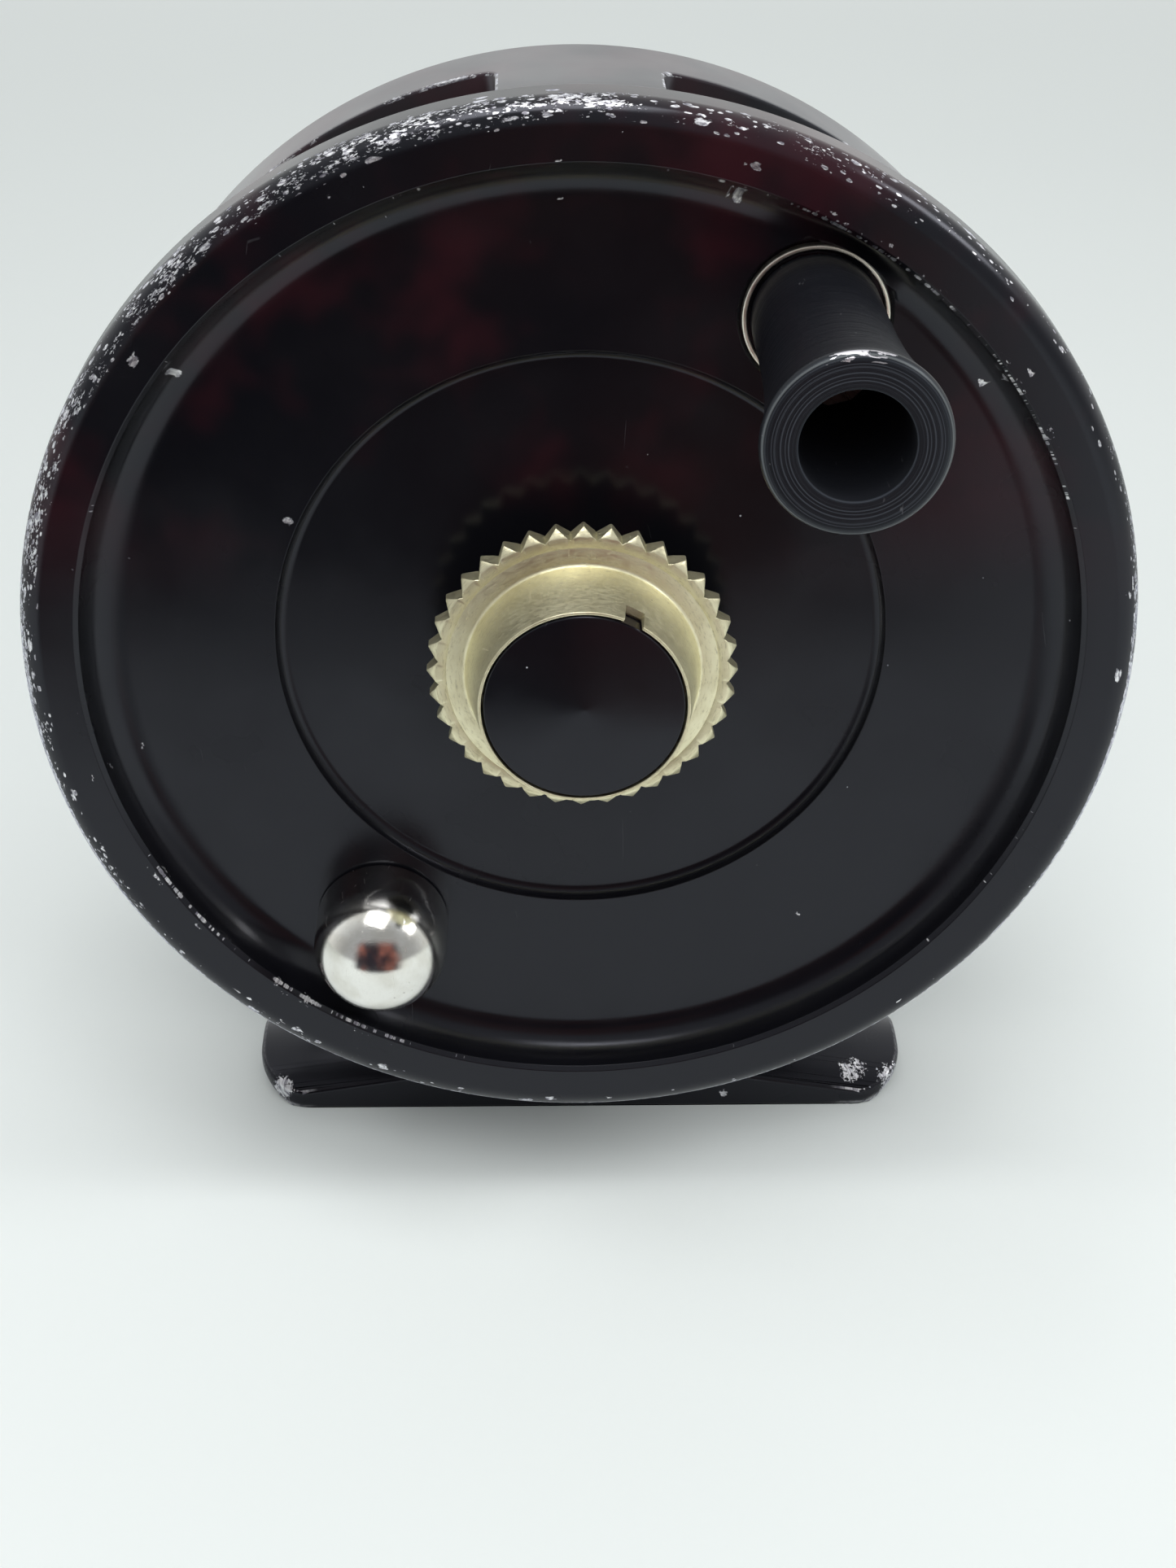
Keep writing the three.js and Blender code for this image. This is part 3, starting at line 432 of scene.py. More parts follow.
class Effect(Enum):
    """The effects that several finishes share; each is built by the method of that name."""

    TURNED = "Turned coordinates"
    CHIPS = "Chipped finish"
    SPECKS = "Specks"
    SCRATCHES = "Scratches"
    TURNING = "Turning marks"
    EDGE = "Worn edge"


class Effects:
    """Builds each shared effect once, as a node group."""

    made: dict[Effect, Tree] = {}

    @classmethod
    def tree(cls, kind: Effect) -> Tree:
        """The node group of an effect, built when it is first asked for."""
        if kind not in cls.made:
            cls.made[kind] = getattr(cls, kind.name.lower())(kind.value)
        return cls.made[kind]

    @staticmethod
    def start(
        name: str, inputs: dict[str, Any], outputs: dict[str, str]
    ) -> tuple[Graph, Node, Node]:
        """Begin a group.

        Args:
            name: The group's name.
            inputs: Each input's name and default; a tuple makes a vector.
            outputs: Each output's name and kind, Float or Vector.

        Returns:
            The graph, its input node and its output node.
        """
        tree = bpy.data.node_groups.new(name, "ShaderNodeTree")
        for key, default in inputs.items():
            kind = "Vector" if isinstance(default, tuple) else "Float"
            socket = tree.interface.new_socket(key, in_out="INPUT", socket_type="NodeSocket" + kind)
            socket.default_value = default
        for key, kind in outputs.items():
            tree.interface.new_socket(key, in_out="OUTPUT", socket_type="NodeSocket" + kind)
        graph = Graph(tree)
        return graph, graph.add("NodeGroupInput"), graph.add("NodeGroupOutput")

    @classmethod
    def turned(cls, name: str) -> Tree:
        """Where a point lies on a turned piece: its radius, angle and depth, in millimetres.

        Wrapped is a vector for patterns that run round the piece without a seam. A larger Stretch
        draws them out along the turn.
        """
        kinds = dict(Radius="Float", Angle="Float", Depth="Float", Wrapped="Vector", Flat="Vector")
        defaults = {"Centre": (0.0, 0.0, 0.0), "Reach": 47.5, "Stretch": 2.0}
        graph, given, result = cls.start(name, defaults, kinds)
        place = graph.add("ShaderNodeTexCoord").outputs["Object"]
        offset = graph.vector("SUBTRACT", place, given.outputs["Centre"]).outputs[0]
        flat = graph.vector("MULTIPLY", offset, (1000.0, 1000.0, 1000.0)).outputs[0]
        x, depth, z = graph.add("ShaderNodeSeparateXYZ", {0: flat}).outputs
        across = graph.vector("MULTIPLY", flat, (1.0, 0.0, 1.0)).outputs[0]
        radius = graph.vector("LENGTH", across).outputs["Value"]
        around = graph.vector("NORMALIZE", across).outputs[0]
        reach = graph.math("DIVIDE", given.outputs["Reach"], given.outputs["Stretch"])
        scaled = graph.add("ShaderNodeVectorMath", {0: around, "Scale": reach}, operation="SCALE")
        along = graph.math("ADD", radius, depth)
        lift = graph.add("ShaderNodeCombineXYZ", {1: along}).outputs[0]
        wrapped = graph.vector("ADD", scaled.outputs[0], lift).outputs[0]
        angle = graph.math("ARCTAN2", z, x)
        for key, value in zip(kinds, (radius, angle, depth, wrapped, flat)):
            graph.feed(result.inputs[key], value)
        return graph.tree

    @classmethod
    def chips(cls, name: str) -> Tree:
        """Where a hard black finish has flaked away, more of it as Amount grows."""
        defaults = {"Vector": (0.0, 0.0, 0.0), "Size": 0.6, "Amount": 0.5}
        graph, given, result = cls.start(name, defaults, {"Mask": "Float"})
        fine_scale = graph.math("DIVIDE", 1.0, given.outputs["Size"])
        coarse_scale = graph.times(fine_scale, 0.22)
        fine = graph.noise(given.outputs["Vector"], fine_scale, 4.0, 0.62, 0.5)
        coarse = graph.noise(given.outputs["Vector"], coarse_scale, 2.0)
        value = graph.math("ADD", graph.times(fine, 0.62), graph.times(coarse, 0.38))
        level = graph.math("SUBTRACT", 0.74, graph.times(given.outputs["Amount"], 0.3))
        mask = graph.remap(value, level, graph.math("ADD", level, 0.018))
        graph.feed(result.inputs["Mask"], mask)
        return graph.tree

    @classmethod
    def specks(cls, name: str) -> Tree:
        """Separate ragged spots: nicks when they are large, dust when they are small."""
        defaults = dict(Vector=(0.0, 0.0, 0.0), Spacing=2.0, Size=0.2, Density=0.3, Ragged=0.4)
        graph, given, result = cls.start(name, defaults, {"Mask": "Float"})
        scale = graph.math("DIVIDE", 1.0, given.outputs["Spacing"])
        stir = graph.add("ShaderNodeTexNoise", {"Vector": given.outputs["Vector"], "Scale": 2.5})
        shift = graph.vector("SUBTRACT", stir.outputs["Color"], (0.5, 0.5, 0.5)).outputs[0]
        strength = graph.add(
            "ShaderNodeVectorMath", {0: shift, "Scale": given.outputs["Ragged"]}, operation="SCALE"
        )
        place = graph.vector("ADD", given.outputs["Vector"], strength.outputs[0]).outputs[0]
        cells = graph.add("ShaderNodeTexVoronoi", {"Vector": place, "Scale": scale})
        chance = graph.add("ShaderNodeSeparateXYZ", {0: cells.outputs["Color"]})
        present = graph.math("LESS_THAN", chance.outputs[0], given.outputs["Density"])
        share = graph.math("MULTIPLY_ADD", chance.outputs[1], 0.8)
        share.node.inputs[2].default_value = 0.2
        size = graph.times(given.outputs["Size"], share)
        spot = graph.remap(cells.outputs["Distance"], graph.times(size, 0.75), size, 1.0, 0.0)
        graph.feed(result.inputs["Mask"], graph.times(spot, present))
        return graph.tree

    @classmethod
    def scratches(cls, name: str) -> Tree:
        """Fine straight and slightly bent lines, broken at random."""
        defaults = {"Vector": (0.0, 0.0, 0.0), "Spacing": 6.0, "Width": 0.01, "Amount": 0.4}
        graph, given, result = cls.start(name, defaults, {"Mask": "Float"})
        layers = []
        for turn, stretch in ((0.5, 0.22), (2.1, 0.35), (-0.9, 0.15)):
            spun = graph.add(
                "ShaderNodeMapping",
                {
                    "Vector": given.outputs["Vector"],
                    "Rotation": (0.0, turn, 0.0),
                    "Scale": (1.0, stretch, stretch),
                },
            ).outputs[0]
            scale = graph.math("DIVIDE", 1.0, given.outputs["Spacing"])
            lines = graph.add(
                "ShaderNodeTexVoronoi", {"Vector": spun, "Scale": scale}, feature="DISTANCE_TO_EDGE"
            )
            line = graph.remap(lines.outputs["Distance"], 0.0, given.outputs["Width"], 1.0, 0.0)
            gaps = graph.noise(spun, graph.times(scale, 3.1), 3.0)
            limit = graph.math("SUBTRACT", 0.78, graph.times(given.outputs["Amount"], 0.35))
            kept = graph.remap(gaps, limit, graph.math("ADD", limit, 0.06))
            layers.append(graph.times(line, kept))
        graph.feed(result.inputs["Mask"], graph.most(*layers))
        return graph.tree

    @classmethod
    def turning(cls, name: str) -> Tree:
        """Fine rings left by a lathe tool, along any distance such as a radius or a depth."""
        defaults = {"Distance": 0.0, "Pitch": 0.15}
        graph, given, result = cls.start(name, defaults, {"Height": "Float"})
        scaled = graph.math("DIVIDE", given.outputs["Distance"], given.outputs["Pitch"])
        feeds = {"W": scaled, "Scale": 1.0, "Detail": 3.0, "Roughness": 0.6}
        rings = graph.add("ShaderNodeTexNoise", feeds, noise_dimensions="1D")
        graph.feed(result.inputs["Height"], rings.outputs[0])
        return graph.tree

    @classmethod
    def edge(cls, name: str) -> Tree:
        """Where a corner of a piece has been rubbed bright, within Width metres of it."""
        defaults = {"Vector": (0.0, 0.0, 0.0), "Width": 0.0003, "Amount": 0.5, "Size": 1.0}
        graph, given, result = cls.start(name, defaults, {"Mask": "Float"})
        bevel = graph.add("ShaderNodeBevel", {"Radius": given.outputs["Width"]}, samples=6)
        surface = graph.add("ShaderNodeNewGeometry").outputs["Normal"]
        lean = graph.vector("DOT_PRODUCT", bevel.outputs[0], surface).outputs["Value"]
        corner = graph.remap(lean, 0.99, 0.82)
        scale = graph.math("DIVIDE", 1.0, given.outputs["Size"])
        rub = graph.noise(given.outputs["Vector"], scale, 4.0, 0.6)
        level = graph.math("SUBTRACT", 0.8, graph.times(given.outputs["Amount"], 0.6))
        worn = graph.remap(rub, level, graph.math("ADD", level, 0.1))
        graph.feed(result.inputs["Mask"], graph.times(corner, worn))
        return graph.tree


# ---------------------------------------------------------------- finishes


@dataclass(frozen=True)
class BlackGloss:
    """Glossy black anodising over aluminium, chipped and rubbed to bare metal.

    Each wear field is an amount from 0 to 1: rim for the rolled rim, dish for the edge of the
    dish, corners for the corners of a piece, chipped for all of it, and nicks for stray ones.
    Corners are worn only farther out than corners_from along X. Each rub is the middle and the
    radius of a patch of bare metal, measured from the axis and the front of the rim; on the foot
    the first one is a painted glint of a lamp and the others are rubbed corners. Above the axis the
    finish has maroon clouds in its colour, a painted reflection of the dark surroundings in front.
    """

    name: str
    axis: Axis
    rim: float = 0.0
    dish: float = 0.0
    corners: float = 0.0
    corners_from: float = -4.0
    # Bare patches: rubbed wear, and on the foot's right toe a painted glint of a lamp.
    rubs_and_glints: tuple[tuple[float, float, float, float], ...] = ()
    nicks: float = 0.1
    corner_width: float = 0.25
    roughness: float = 0.17
    specular: float = 0.4
    sheen: float = 0.0
    chipped: float = 0.0
    black: Colour = (0.003, 0.003, 0.0042, 1.0)
    # Maroon of the painted reflection that is faded in above the axis.
    painted_reflection_tint: Colour = (0.02, 0.004, 0.0065, 1.0)
    metal: Colour = (0.86, 0.86, 0.88, 1.0)

    def material(self) -> Material:
        """The finish as a material."""
        made, graph, shader = blank_material(self.name)
        centre = tuple(self.axis.point(0))
        place = graph.effect(Effect.TURNED, Centre=centre, Reach=47.5, Stretch=1.7).outputs
        bare = self.wear(graph, place)
        smudge = graph.noise(place["Flat"], 0.09, 3.0)
        grain = graph.noise(place["Flat"], 9.0, 2.0)
        dust = graph.mask(
            Effect.SPECKS, Vector=place["Flat"], Spacing=2.6, Size=0.035, Density=0.32, Ragged=0.0
        )
        lines = graph.mask(Effect.SCRATCHES, Vector=place["Flat"], Spacing=9.0, Width=0.004, Amount=0.3)
        faint = graph.times(lines, 0.05)
        # Maroon clouds faded in above the axis: a painted reflection of the dark surroundings in front
        # of the reel.
        painted_reflection_clouds = graph.remap(graph.noise(place["Flat"], 0.06, 3.0, 0.6), 0.44, 0.66)
        height = graph.part(place["Flat"], 2)
        painted_reflection_clouds = graph.times(painted_reflection_clouds, graph.remap(height, 2.0, 22.0))
        tint = graph.mix(painted_reflection_clouds, self.black, self.painted_reflection_tint)
        tint = graph.mix(dust, tint, (0.35, 0.36, 0.38, 1.0))
        tint = graph.mix(faint, tint, (0.5, 0.5, 0.53, 1.0))
        shade = graph.remap(graph.noise(place["Wrapped"], 3.5, 4.0, 0.65), 0.35, 0.62)
        tarnish = graph.mix(shade, (0.2, 0.19, 0.23, 1.0), self.metal)
        graph.feed(shader.inputs["Base Color"], graph.mix(bare, tint, tarnish))
        graph.feed(shader.inputs["Metallic"], bare)
        gloss = graph.remap(smudge, 0.3, 0.75, self.roughness, self.roughness + 0.12)
        gloss = graph.blend(dust, gloss, 0.7)
        graph.feed(shader.inputs["Roughness"], graph.blend(bare, gloss, 0.42))
        shader.inputs["Specular Tint"].default_value = (0.86, 0.88, 1.0, 1.0)
        shader.inputs["Specular IOR Level"].default_value = self.specular
        shader.inputs["Sheen Weight"].default_value = self.sheen
        depth = graph.times(bare, -1.0)
        height = graph.math("ADD", depth, graph.times(grain, 0.035))
        bump = graph.add("ShaderNodeBump", {"Strength": 0.8, "Distance": 0.00003, "Height": height})
        graph.feed(shader.inputs["Normal"], bump.outputs[0])
        return made

    def wear(self, graph: Graph, place: Any) -> Socket:
        """Where the black is gone, and where bare metal is painted in as a glint.

        Args:
            graph: The material's graph.
            place: The outputs of the turned coordinates.

        Returns:
            A mask of bare metal.
        """
        stray = graph.mask(
            Effect.SPECKS, Vector=place["Flat"], Spacing=5.0, Size=0.1, Density=self.nicks, Ragged=0.9
        )
        masks = [stray]
        if self.chipped:
            broken = graph.noise(place["Wrapped"], 0.2, 2.0)
            amount = graph.remap(broken, 0.35, 0.6, 0.3 * self.chipped, 1.2 * self.chipped)
            chips = graph.mask(Effect.CHIPS, Vector=place["Wrapped"], Size=0.5, Amount=amount)
            masks.append(chips)
        if self.rim:
            masks += self.rim_wear(graph, place)
        if self.dish:
            masks.append(self.dish_wear(graph, place))
        if self.corners:
            corner = graph.mask(
                Effect.EDGE,
                Vector=place["Flat"],
                Width=self.corner_width * MM,
                Amount=self.corners,
                Size=0.9,
            )
            across = graph.part(place["Flat"], 0)
            out = graph.math("ABSOLUTE", across)
            far = graph.remap(out, self.corners_from, self.corners_from + 3.0)
            masks.append(graph.times(corner, far))
        # Bare metal patches; the foot's right-toe one is a painted glint of a lamp, the rest are rubbed
        # wear.
        for *middle, size in self.rubs_and_glints:
            away = graph.vector("DISTANCE", place["Flat"], middle).outputs["Value"]
            amount = graph.remap(away, 0.25 * size, size, 1.1, 0.0)
            rubbed = graph.mask(Effect.CHIPS, Vector=place["Flat"], Size=0.26, Amount=amount)
            masks.append(rubbed)
        return graph.most(*masks)

    def rim_wear(self, graph: Graph, place: Any) -> list[Socket]:
        """Flecks of metal on the rolled rim, thickest on its upper left, and a thin worn line."""
        turn = graph.math("COSINE", graph.math("SUBTRACT", place["Angle"], math.radians(150)))
        side = graph.times(graph.remap(turn, -0.6, 0.55, 0.07, 1.0), self.rim)
        patchy = graph.remap(graph.noise(place["Wrapped"], 0.16, 2.0), 0.32, 0.6, 0.5, 1.0)
        weight = graph.times(side, patchy)
        along = graph.math("ADD", place["Radius"], place["Depth"])
        shoulder = graph.times(graph.band(along, 45.9, 49.8, 0.5), weight)
        low = graph.remap(graph.math("SINE", place["Angle"]), 0.5, -0.2, 0.4, 1.0)
        edge = graph.times(graph.band(along, 47.4, 49.3, 0.2), low)
        line = graph.times(edge, 0.8 * self.rim)
        masks = []
        for spacing, size, share, zone in (
            (0.42, 0.5, 0.6, shoulder),
            (1.0, 0.46, 0.5, shoulder),
            (0.55, 0.6, 0.8, line),
            (1.6, 0.3, 0.26, graph.times(graph.band(along, 42.9, 50.6, 0.5), weight)),
        ):
            density = graph.times(zone, share)
            spots = graph.mask(
                Effect.SPECKS,
                Vector=place["Wrapped"],
                Spacing=spacing,
                Size=size,
                Density=density,
                Ragged=0.5 * spacing,
            )
            masks.append(spots)
        grain = graph.mask(
            Effect.CHIPS,
            Vector=place["Wrapped"],
            Size=0.24,
            Amount=graph.most(graph.times(shoulder, 0.72), graph.times(line, 1.3)),
        )
        masks.append(grain)
        return masks

    def dish_wear(self, graph: Graph, place: Any) -> Socket:
        """A broken bright line on the edge of the dish, at its lower left and upper right."""
        turn = graph.times(graph.math("SUBTRACT", place["Angle"], 0.85), 2.0)
        turn = graph.math("COSINE", turn)
        side = graph.remap(turn, 0.2, 0.95, 0.45, 1.0)
        lip = graph.band(place["Radius"], 42.42, 42.72, 0.08)
        beside = graph.times(graph.band(place["Radius"], 41.9, 43.5, 0.3), 0.55)
        front = graph.remap(place["Depth"], 0.6, 1.2, 1.0, 0.0)
        zone = graph.times(graph.times(graph.most(lip, beside), front), side)
        amount = graph.times(zone, 0.8 * self.dish)
        return graph.mask(Effect.CHIPS, Vector=place["Wrapped"], Size=0.32, Amount=amount)


@dataclass(frozen=True)
class BlackSatin:
    """Satin black anodising with turning marks, polished a little by the hand; the tip's edge has a
    painted highlight.
    """

    name: str
    axis: Axis
    tip: float = -99.0
    black: Colour = (0.0035, 0.004, 0.006, 1.0)

    def material(self) -> Material:
        """The finish as a material."""
        made, graph, shader = blank_material(self.name)
        centre = tuple(self.axis.point(0))
        place = graph.effect(Effect.TURNED, Centre=centre, Reach=7.0, Stretch=3.0).outputs
        rings = graph.mask(Effect.TURNING, Distance=place["Radius"], Pitch=0.2)
        bands = graph.mask(Effect.TURNING, Distance=place["Depth"], Pitch=0.5)
        rubbed = graph.noise(place["Wrapped"], 0.5, 4.0, 0.6)
        scuffs = graph.mask(
            Effect.SCRATCHES, Vector=place["Flat"], Spacing=2.2, Width=0.02, Amount=0.32
        )
        dust = graph.mask(
            Effect.SPECKS, Vector=place["Flat"], Spacing=1.7, Size=0.04, Density=0.3, Ragged=0.0
        )
        along = graph.math("ADD", place["Radius"], place["Depth"])
        edge = graph.band(along, self.tip + 6.35, self.tip + 7.5, 0.12)
        at_tip = graph.remap(place["Depth"], self.tip + 1.1, self.tip + 0.7)
        top = graph.math("COSINE", graph.math("SUBTRACT", place["Angle"], math.radians(91)))
        worn = graph.mask(
            Effect.CHIPS,
            Vector=place["Wrapped"],
            Size=0.45,
            Amount=graph.remap(top, 0.88, 0.98, 0.2, 0.9),
        )
        bare = graph.times(graph.times(edge, at_tip), worn)
        end_face = graph.remap(place["Depth"], self.tip + 0.5, self.tip + 0.2)
        turned = graph.times(graph.remap(rings, 0.5, 0.64), end_face)
        tone = graph.mix(turned, self.black, (0.03, 0.034, 0.042, 1.0))
        # A lighter grey line along the crest of the tip's rounded edge: a painted edge highlight.
        line = graph.band(along, self.tip + 6.88, self.tip + 7.12, 0.08)
        line = graph.times(graph.times(line, at_tip), 0.7)
        tone = graph.mix(graph.times(rubbed, 0.2), tone, (0.03, 0.03, 0.035, 1.0))
        tone = graph.mix(line, tone, (0.12, 0.13, 0.135, 1.0))
        tone = graph.mix(graph.times(scuffs, 0.12), tone, (0.4, 0.4, 0.42, 1.0))
        tone = graph.mix(dust, tone, (0.4, 0.4, 0.4, 1.0))
        graph.feed(shader.inputs["Base Color"], graph.mix(bare, tone, (0.66, 0.64, 0.68, 1.0)))
        graph.feed(shader.inputs["Metallic"], bare)
        gloss = graph.remap(bands, 0.3, 0.7, 0.3, 0.4)
        shader.inputs["Specular IOR Level"].default_value = 0.28
        shader.inputs["Specular Tint"].default_value = (0.82, 0.9, 1.0, 1.0)
        inside = graph.remap(place["Radius"], 4.3, 4.4, 1.0, 0.0)
        gloss = graph.blend(inside, graph.blend(bare, gloss, 0.33), 0.9)
        graph.feed(shader.inputs["Roughness"], gloss)
        height = graph.math("ADD", rings, graph.times(bands, 0.5))
        bump = graph.add("ShaderNodeBump", {"Strength": 0.8, "Distance": 0.00004, "Height": height})
        graph.feed(shader.inputs["Normal"], bump.outputs[0])
        return made


@dataclass(frozen=True)
class BareMetal:
    """Machined metal: a base colour with turning marks, fine scratches and a little tarnish."""

    name: str
    axis: Axis
    colour: Colour
    tarnish: Colour
    roughness: float = 0.3
    rings: float = 0.15
    scratches: float = 0.3
    pitting: float = 0.0
    streaks: float = 0.2
    reach: float = 10.0

    def material(self) -> Material:
        """The finish as a material."""
        made, graph, shader = blank_material(self.name)
        shader.inputs["Metallic"].default_value = 1.0
        centre = tuple(self.axis.point(0))
        place = graph.effect(Effect.TURNED, Centre=centre, Reach=self.reach, Stretch=4.0).outputs
        along = graph.math("ADD", place["Radius"], place["Depth"])
        rings = graph.mask(Effect.TURNING, Distance=along, Pitch=0.12)
        brushed = graph.noise(place["Wrapped"], 5.0, 4.0, 0.7)
        clouds = graph.noise(place["Flat"], 0.35, 3.0)
        lines = graph.mask(
            Effect.SCRATCHES, Vector=place["Flat"], Spacing=1.7, Width=0.012, Amount=self.scratches
        )
        pits = graph.mask(
            Effect.SPECKS, Vector=place["Flat"], Spacing=1.1, Size=0.07, Density=self.pitting, Ragged=0.3
        )
        tone = graph.mix(graph.remap(clouds, 0.35, 0.7), self.colour, self.tarnish)
        shaded = tuple(0.7 * part for part in self.tarnish[:3]) + (1.0,)
        streaks = graph.times(graph.remap(brushed, 0.5, 0.72), self.streaks)
        tone = graph.mix(streaks, tone, shaded)
        dark = tuple(0.35 * part for part in self.tarnish[:3]) + (1.0,)
        graph.feed(shader.inputs["Base Color"], graph.mix(pits, tone, dark))
        rough = graph.remap(brushed, 0.25, 0.75, self.roughness * 0.75, self.roughness * 1.35)
        rough = graph.blend(lines, rough, min(0.9, self.roughness + 0.25))
        graph.feed(shader.inputs["Roughness"], rough)
        marks = graph.times(rings, self.rings)
        grain = graph.times(brushed, 0.6)
        height = graph.math("SUBTRACT", graph.math("ADD", marks, grain), graph.most(lines, pits))
        bump = graph.add("ShaderNodeBump", {"Strength": 0.45, "Distance": 0.00002, "Height": height})
        graph.feed(shader.inputs["Normal"], bump.outputs[0])
        return made


@dataclass(frozen=True)
class Cork:
    """Pressed cork: pale granules with darker ones among them."""

    name: str

    def material(self) -> Material:
        """The finish as a material."""
        made, graph, shader = blank_material(self.name)
        place = graph.add("ShaderNodeTexCoord").outputs["Object"]
        feeds = {"Vector": place, "Scale": 1100.0}
        grains = graph.add("ShaderNodeTexVoronoi", feeds)
        tone = graph.part(grains.outputs["Color"], 0)
        colour = graph.mix(tone, (0.46, 0.27, 0.12, 1.0), (0.2, 0.09, 0.035, 1.0))
        graph.feed(shader.inputs["Base Color"], colour)
        shader.inputs["Roughness"].default_value = 0.9
        bump = graph.add("ShaderNodeBump", {"Distance": 0.0001, "Height": grains.outputs["Distance"]})
        graph.feed(shader.inputs["Normal"], bump.outputs[0])
        return made


def blank_material(name: str) -> tuple[Material, Graph, Node]:
    """A new material with a Principled shader, its graph and that shader."""
    made = bpy.data.materials.new(name)
    made.use_nodes = True
    made.node_tree.nodes.clear()
    graph = Graph(made.node_tree)
    shader = graph.add("ShaderNodeBsdfPrincipled")
    graph.add("ShaderNodeOutputMaterial", {"Surface": shader.outputs[0]})
    return made, graph, shader


class Slot(Enum):
    """The record's material slots."""

    GLOSS = "black_gloss"
    SATIN = "black_satin"
    SILVER = "nickel_silver"
    NICKEL = "bright_nickel"
    ALUMINIUM = "polished_aluminium"
    STEEL = "steel"
    BRONZE = "bronze"
    CORK = "cork"


def fit(
    piece: Piece, body: str, slot: Slot, finish: Material, *nodes: str
) -> None:
    """Dress a finished piece and tie it to the model.

    Args:
        piece: The new piece.
        body: The body it rides on.
        slot: The record's slot that its finish belongs to; not used.
        finish: Its material.
        nodes: The nodes that it stands for.
    """
    Bench.smooth(piece)
    if not piece.data.materials:
        piece.data.materials.append(finish)
    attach(piece, body)
    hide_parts(*nodes)
    LOG.info("%s: %d faces, on %s", piece.name, len(piece.data.polygons), body)


def dress(nodes: Sequence[str], finish: Material) -> None:
    """Give the model's own nodes a material, where their shape is right as it is."""
    for name in nodes:
        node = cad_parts[name]
        for place in node.material_slots:
            place.material = finish
        LOG.info("%s keeps its shape", name)


# ---------------------------------------------------------------- places taken from the model


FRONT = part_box("spool_face")[0].y


def axis_of(node: str) -> Axis:
    """The line along Y through the middle of a node's box."""
    low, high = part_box(node)
    middle = (low + high) / 2
    return Axis(middle.x, middle.z, FRONT)


SPINDLE = axis_of("spool_face")
HANDLE = axis_of("handle_grip")
WEIGHT = axis_of("counterweight")
PAWL_POST = axis_of("pawl_post")
SPRING_POST = axis_of("spring_post")


# ---------------------------------------------------------------- spool


@dataclass
class Spool:
    """The dished face with its rolled rim, the drum behind it and the rear flange."""

    sides: int = 224
    bore: float = 5.5
    hub: float = 9.0
    hub_front: float = 3.6
    disc: float = 5.2
    step: float = 26.3
    dish: float = 4.1
    dish_radius: float = 42.4
    dish_edge: float = 0.4
    rim: float = 47.5
    rim_depth: float = 5.0
    shoulder: float = 2.1
    register: float = 40.8
    back: float = 6.6
    spigot: float = 11.5
    spigot_length: float = 3.3
    pocket: float = 6.16
    pocket_floor: float = 4.7
    arbor: float = 14.0
    arbor_bore: float = 11.8
    flange: float = 40.5
    flange_front: float = 26.0
    flange_back: float = 27.8

    def face(self) -> Piece:
        """The dished face, with the pocket for the handle's collar."""
        outline = rounded(
            [
                (self.bore, self.hub_front, 0.15),
                (self.hub, self.hub_front, 0.3),
                (self.hub, self.disc, 0.5),
                (self.step, self.disc, 1.0),
                (self.step, self.dish, 0.08),
                (self.dish_radius, self.dish, 3.5),
                (self.dish_radius, self.dish_edge, 0.1),
                (self.dish_radius + self.dish_edge, 0, 0.15),
                (self.rim, 0, self.shoulder),
                (self.rim, self.rim_depth, 0.3),
                (self.register, self.rim_depth, 0.15),
                (self.register, self.back, 0.2),
                (self.spigot, self.back, 0.2),
                (self.spigot, self.back + self.spigot_length, 0.2),
                (self.bore, self.back + self.spigot_length, 0.15),
            ],
            closed=True,
        )
        piece = Bench.turn("face_plate", outline, SPINDLE, self.sides, hollow=True)
        chamfer = 0.2
        seat = [
            (self.pocket, self.pocket_floor),
            (self.pocket, self.dish + chamfer),
            (self.pocket + 2 * chamfer, self.dish - chamfer),
        ]
        Bench.combine(piece, Bench.turn("pocket", seat, HANDLE, 96), Cut.AWAY)
        return piece

    def drum(self) -> Piece:
        """The arbor that the line is wound on."""
        gap = 0.2
        front, rear = self.back + gap, self.flange_front - gap
        outline = rounded(
            [
                (self.arbor_bore, front, 0.15),
                (self.arbor, front, 0.3),
                (self.arbor, rear, 0.3),
                (self.arbor_bore, rear, 0.15),
            ],
            closed=True,
        )
        return Bench.turn("arbor_tube", outline, SPINDLE, 128, hollow=True)

    def rear(self) -> Piece:
        """The rear flange with its spigot."""
        outline = rounded(
            [
                (self.bore, self.flange_front - self.spigot_length, 0.15),
                (self.spigot, self.flange_front - self.spigot_length, 0.3),
                (self.spigot, self.flange_front, 0.1),
                (self.flange, self.flange_front, 0.5),
                (self.flange, self.flange_back, 0.5),
                (self.bore, self.flange_back, 0.15),
            ],
            closed=True,
        )
        return Bench.turn("rear_plate", outline, SPINDLE, 160, hollow=True)

    def build(self) -> None:
        """Make the spool's pieces and dress them."""
        worn = BlackGloss("gloss_black_rim", SPINDLE, rim=1.0, dish=1.0, nicks=0.1)
        plain = BlackGloss("gloss_black_flange", SPINDLE, nicks=0.05, roughness=0.3)
        satin = BlackSatin("satin_black_arbor", SPINDLE)
        fit(self.face(), "spool", Slot.GLOSS, worn.material(), "spool_face")
        fit(self.drum(), "spool", Slot.SATIN, satin.material(), "spool_arbor")
        fit(self.rear(), "spool", Slot.GLOSS, plain.material(), "spool_flange")


# ---------------------------------------------------------------- frame


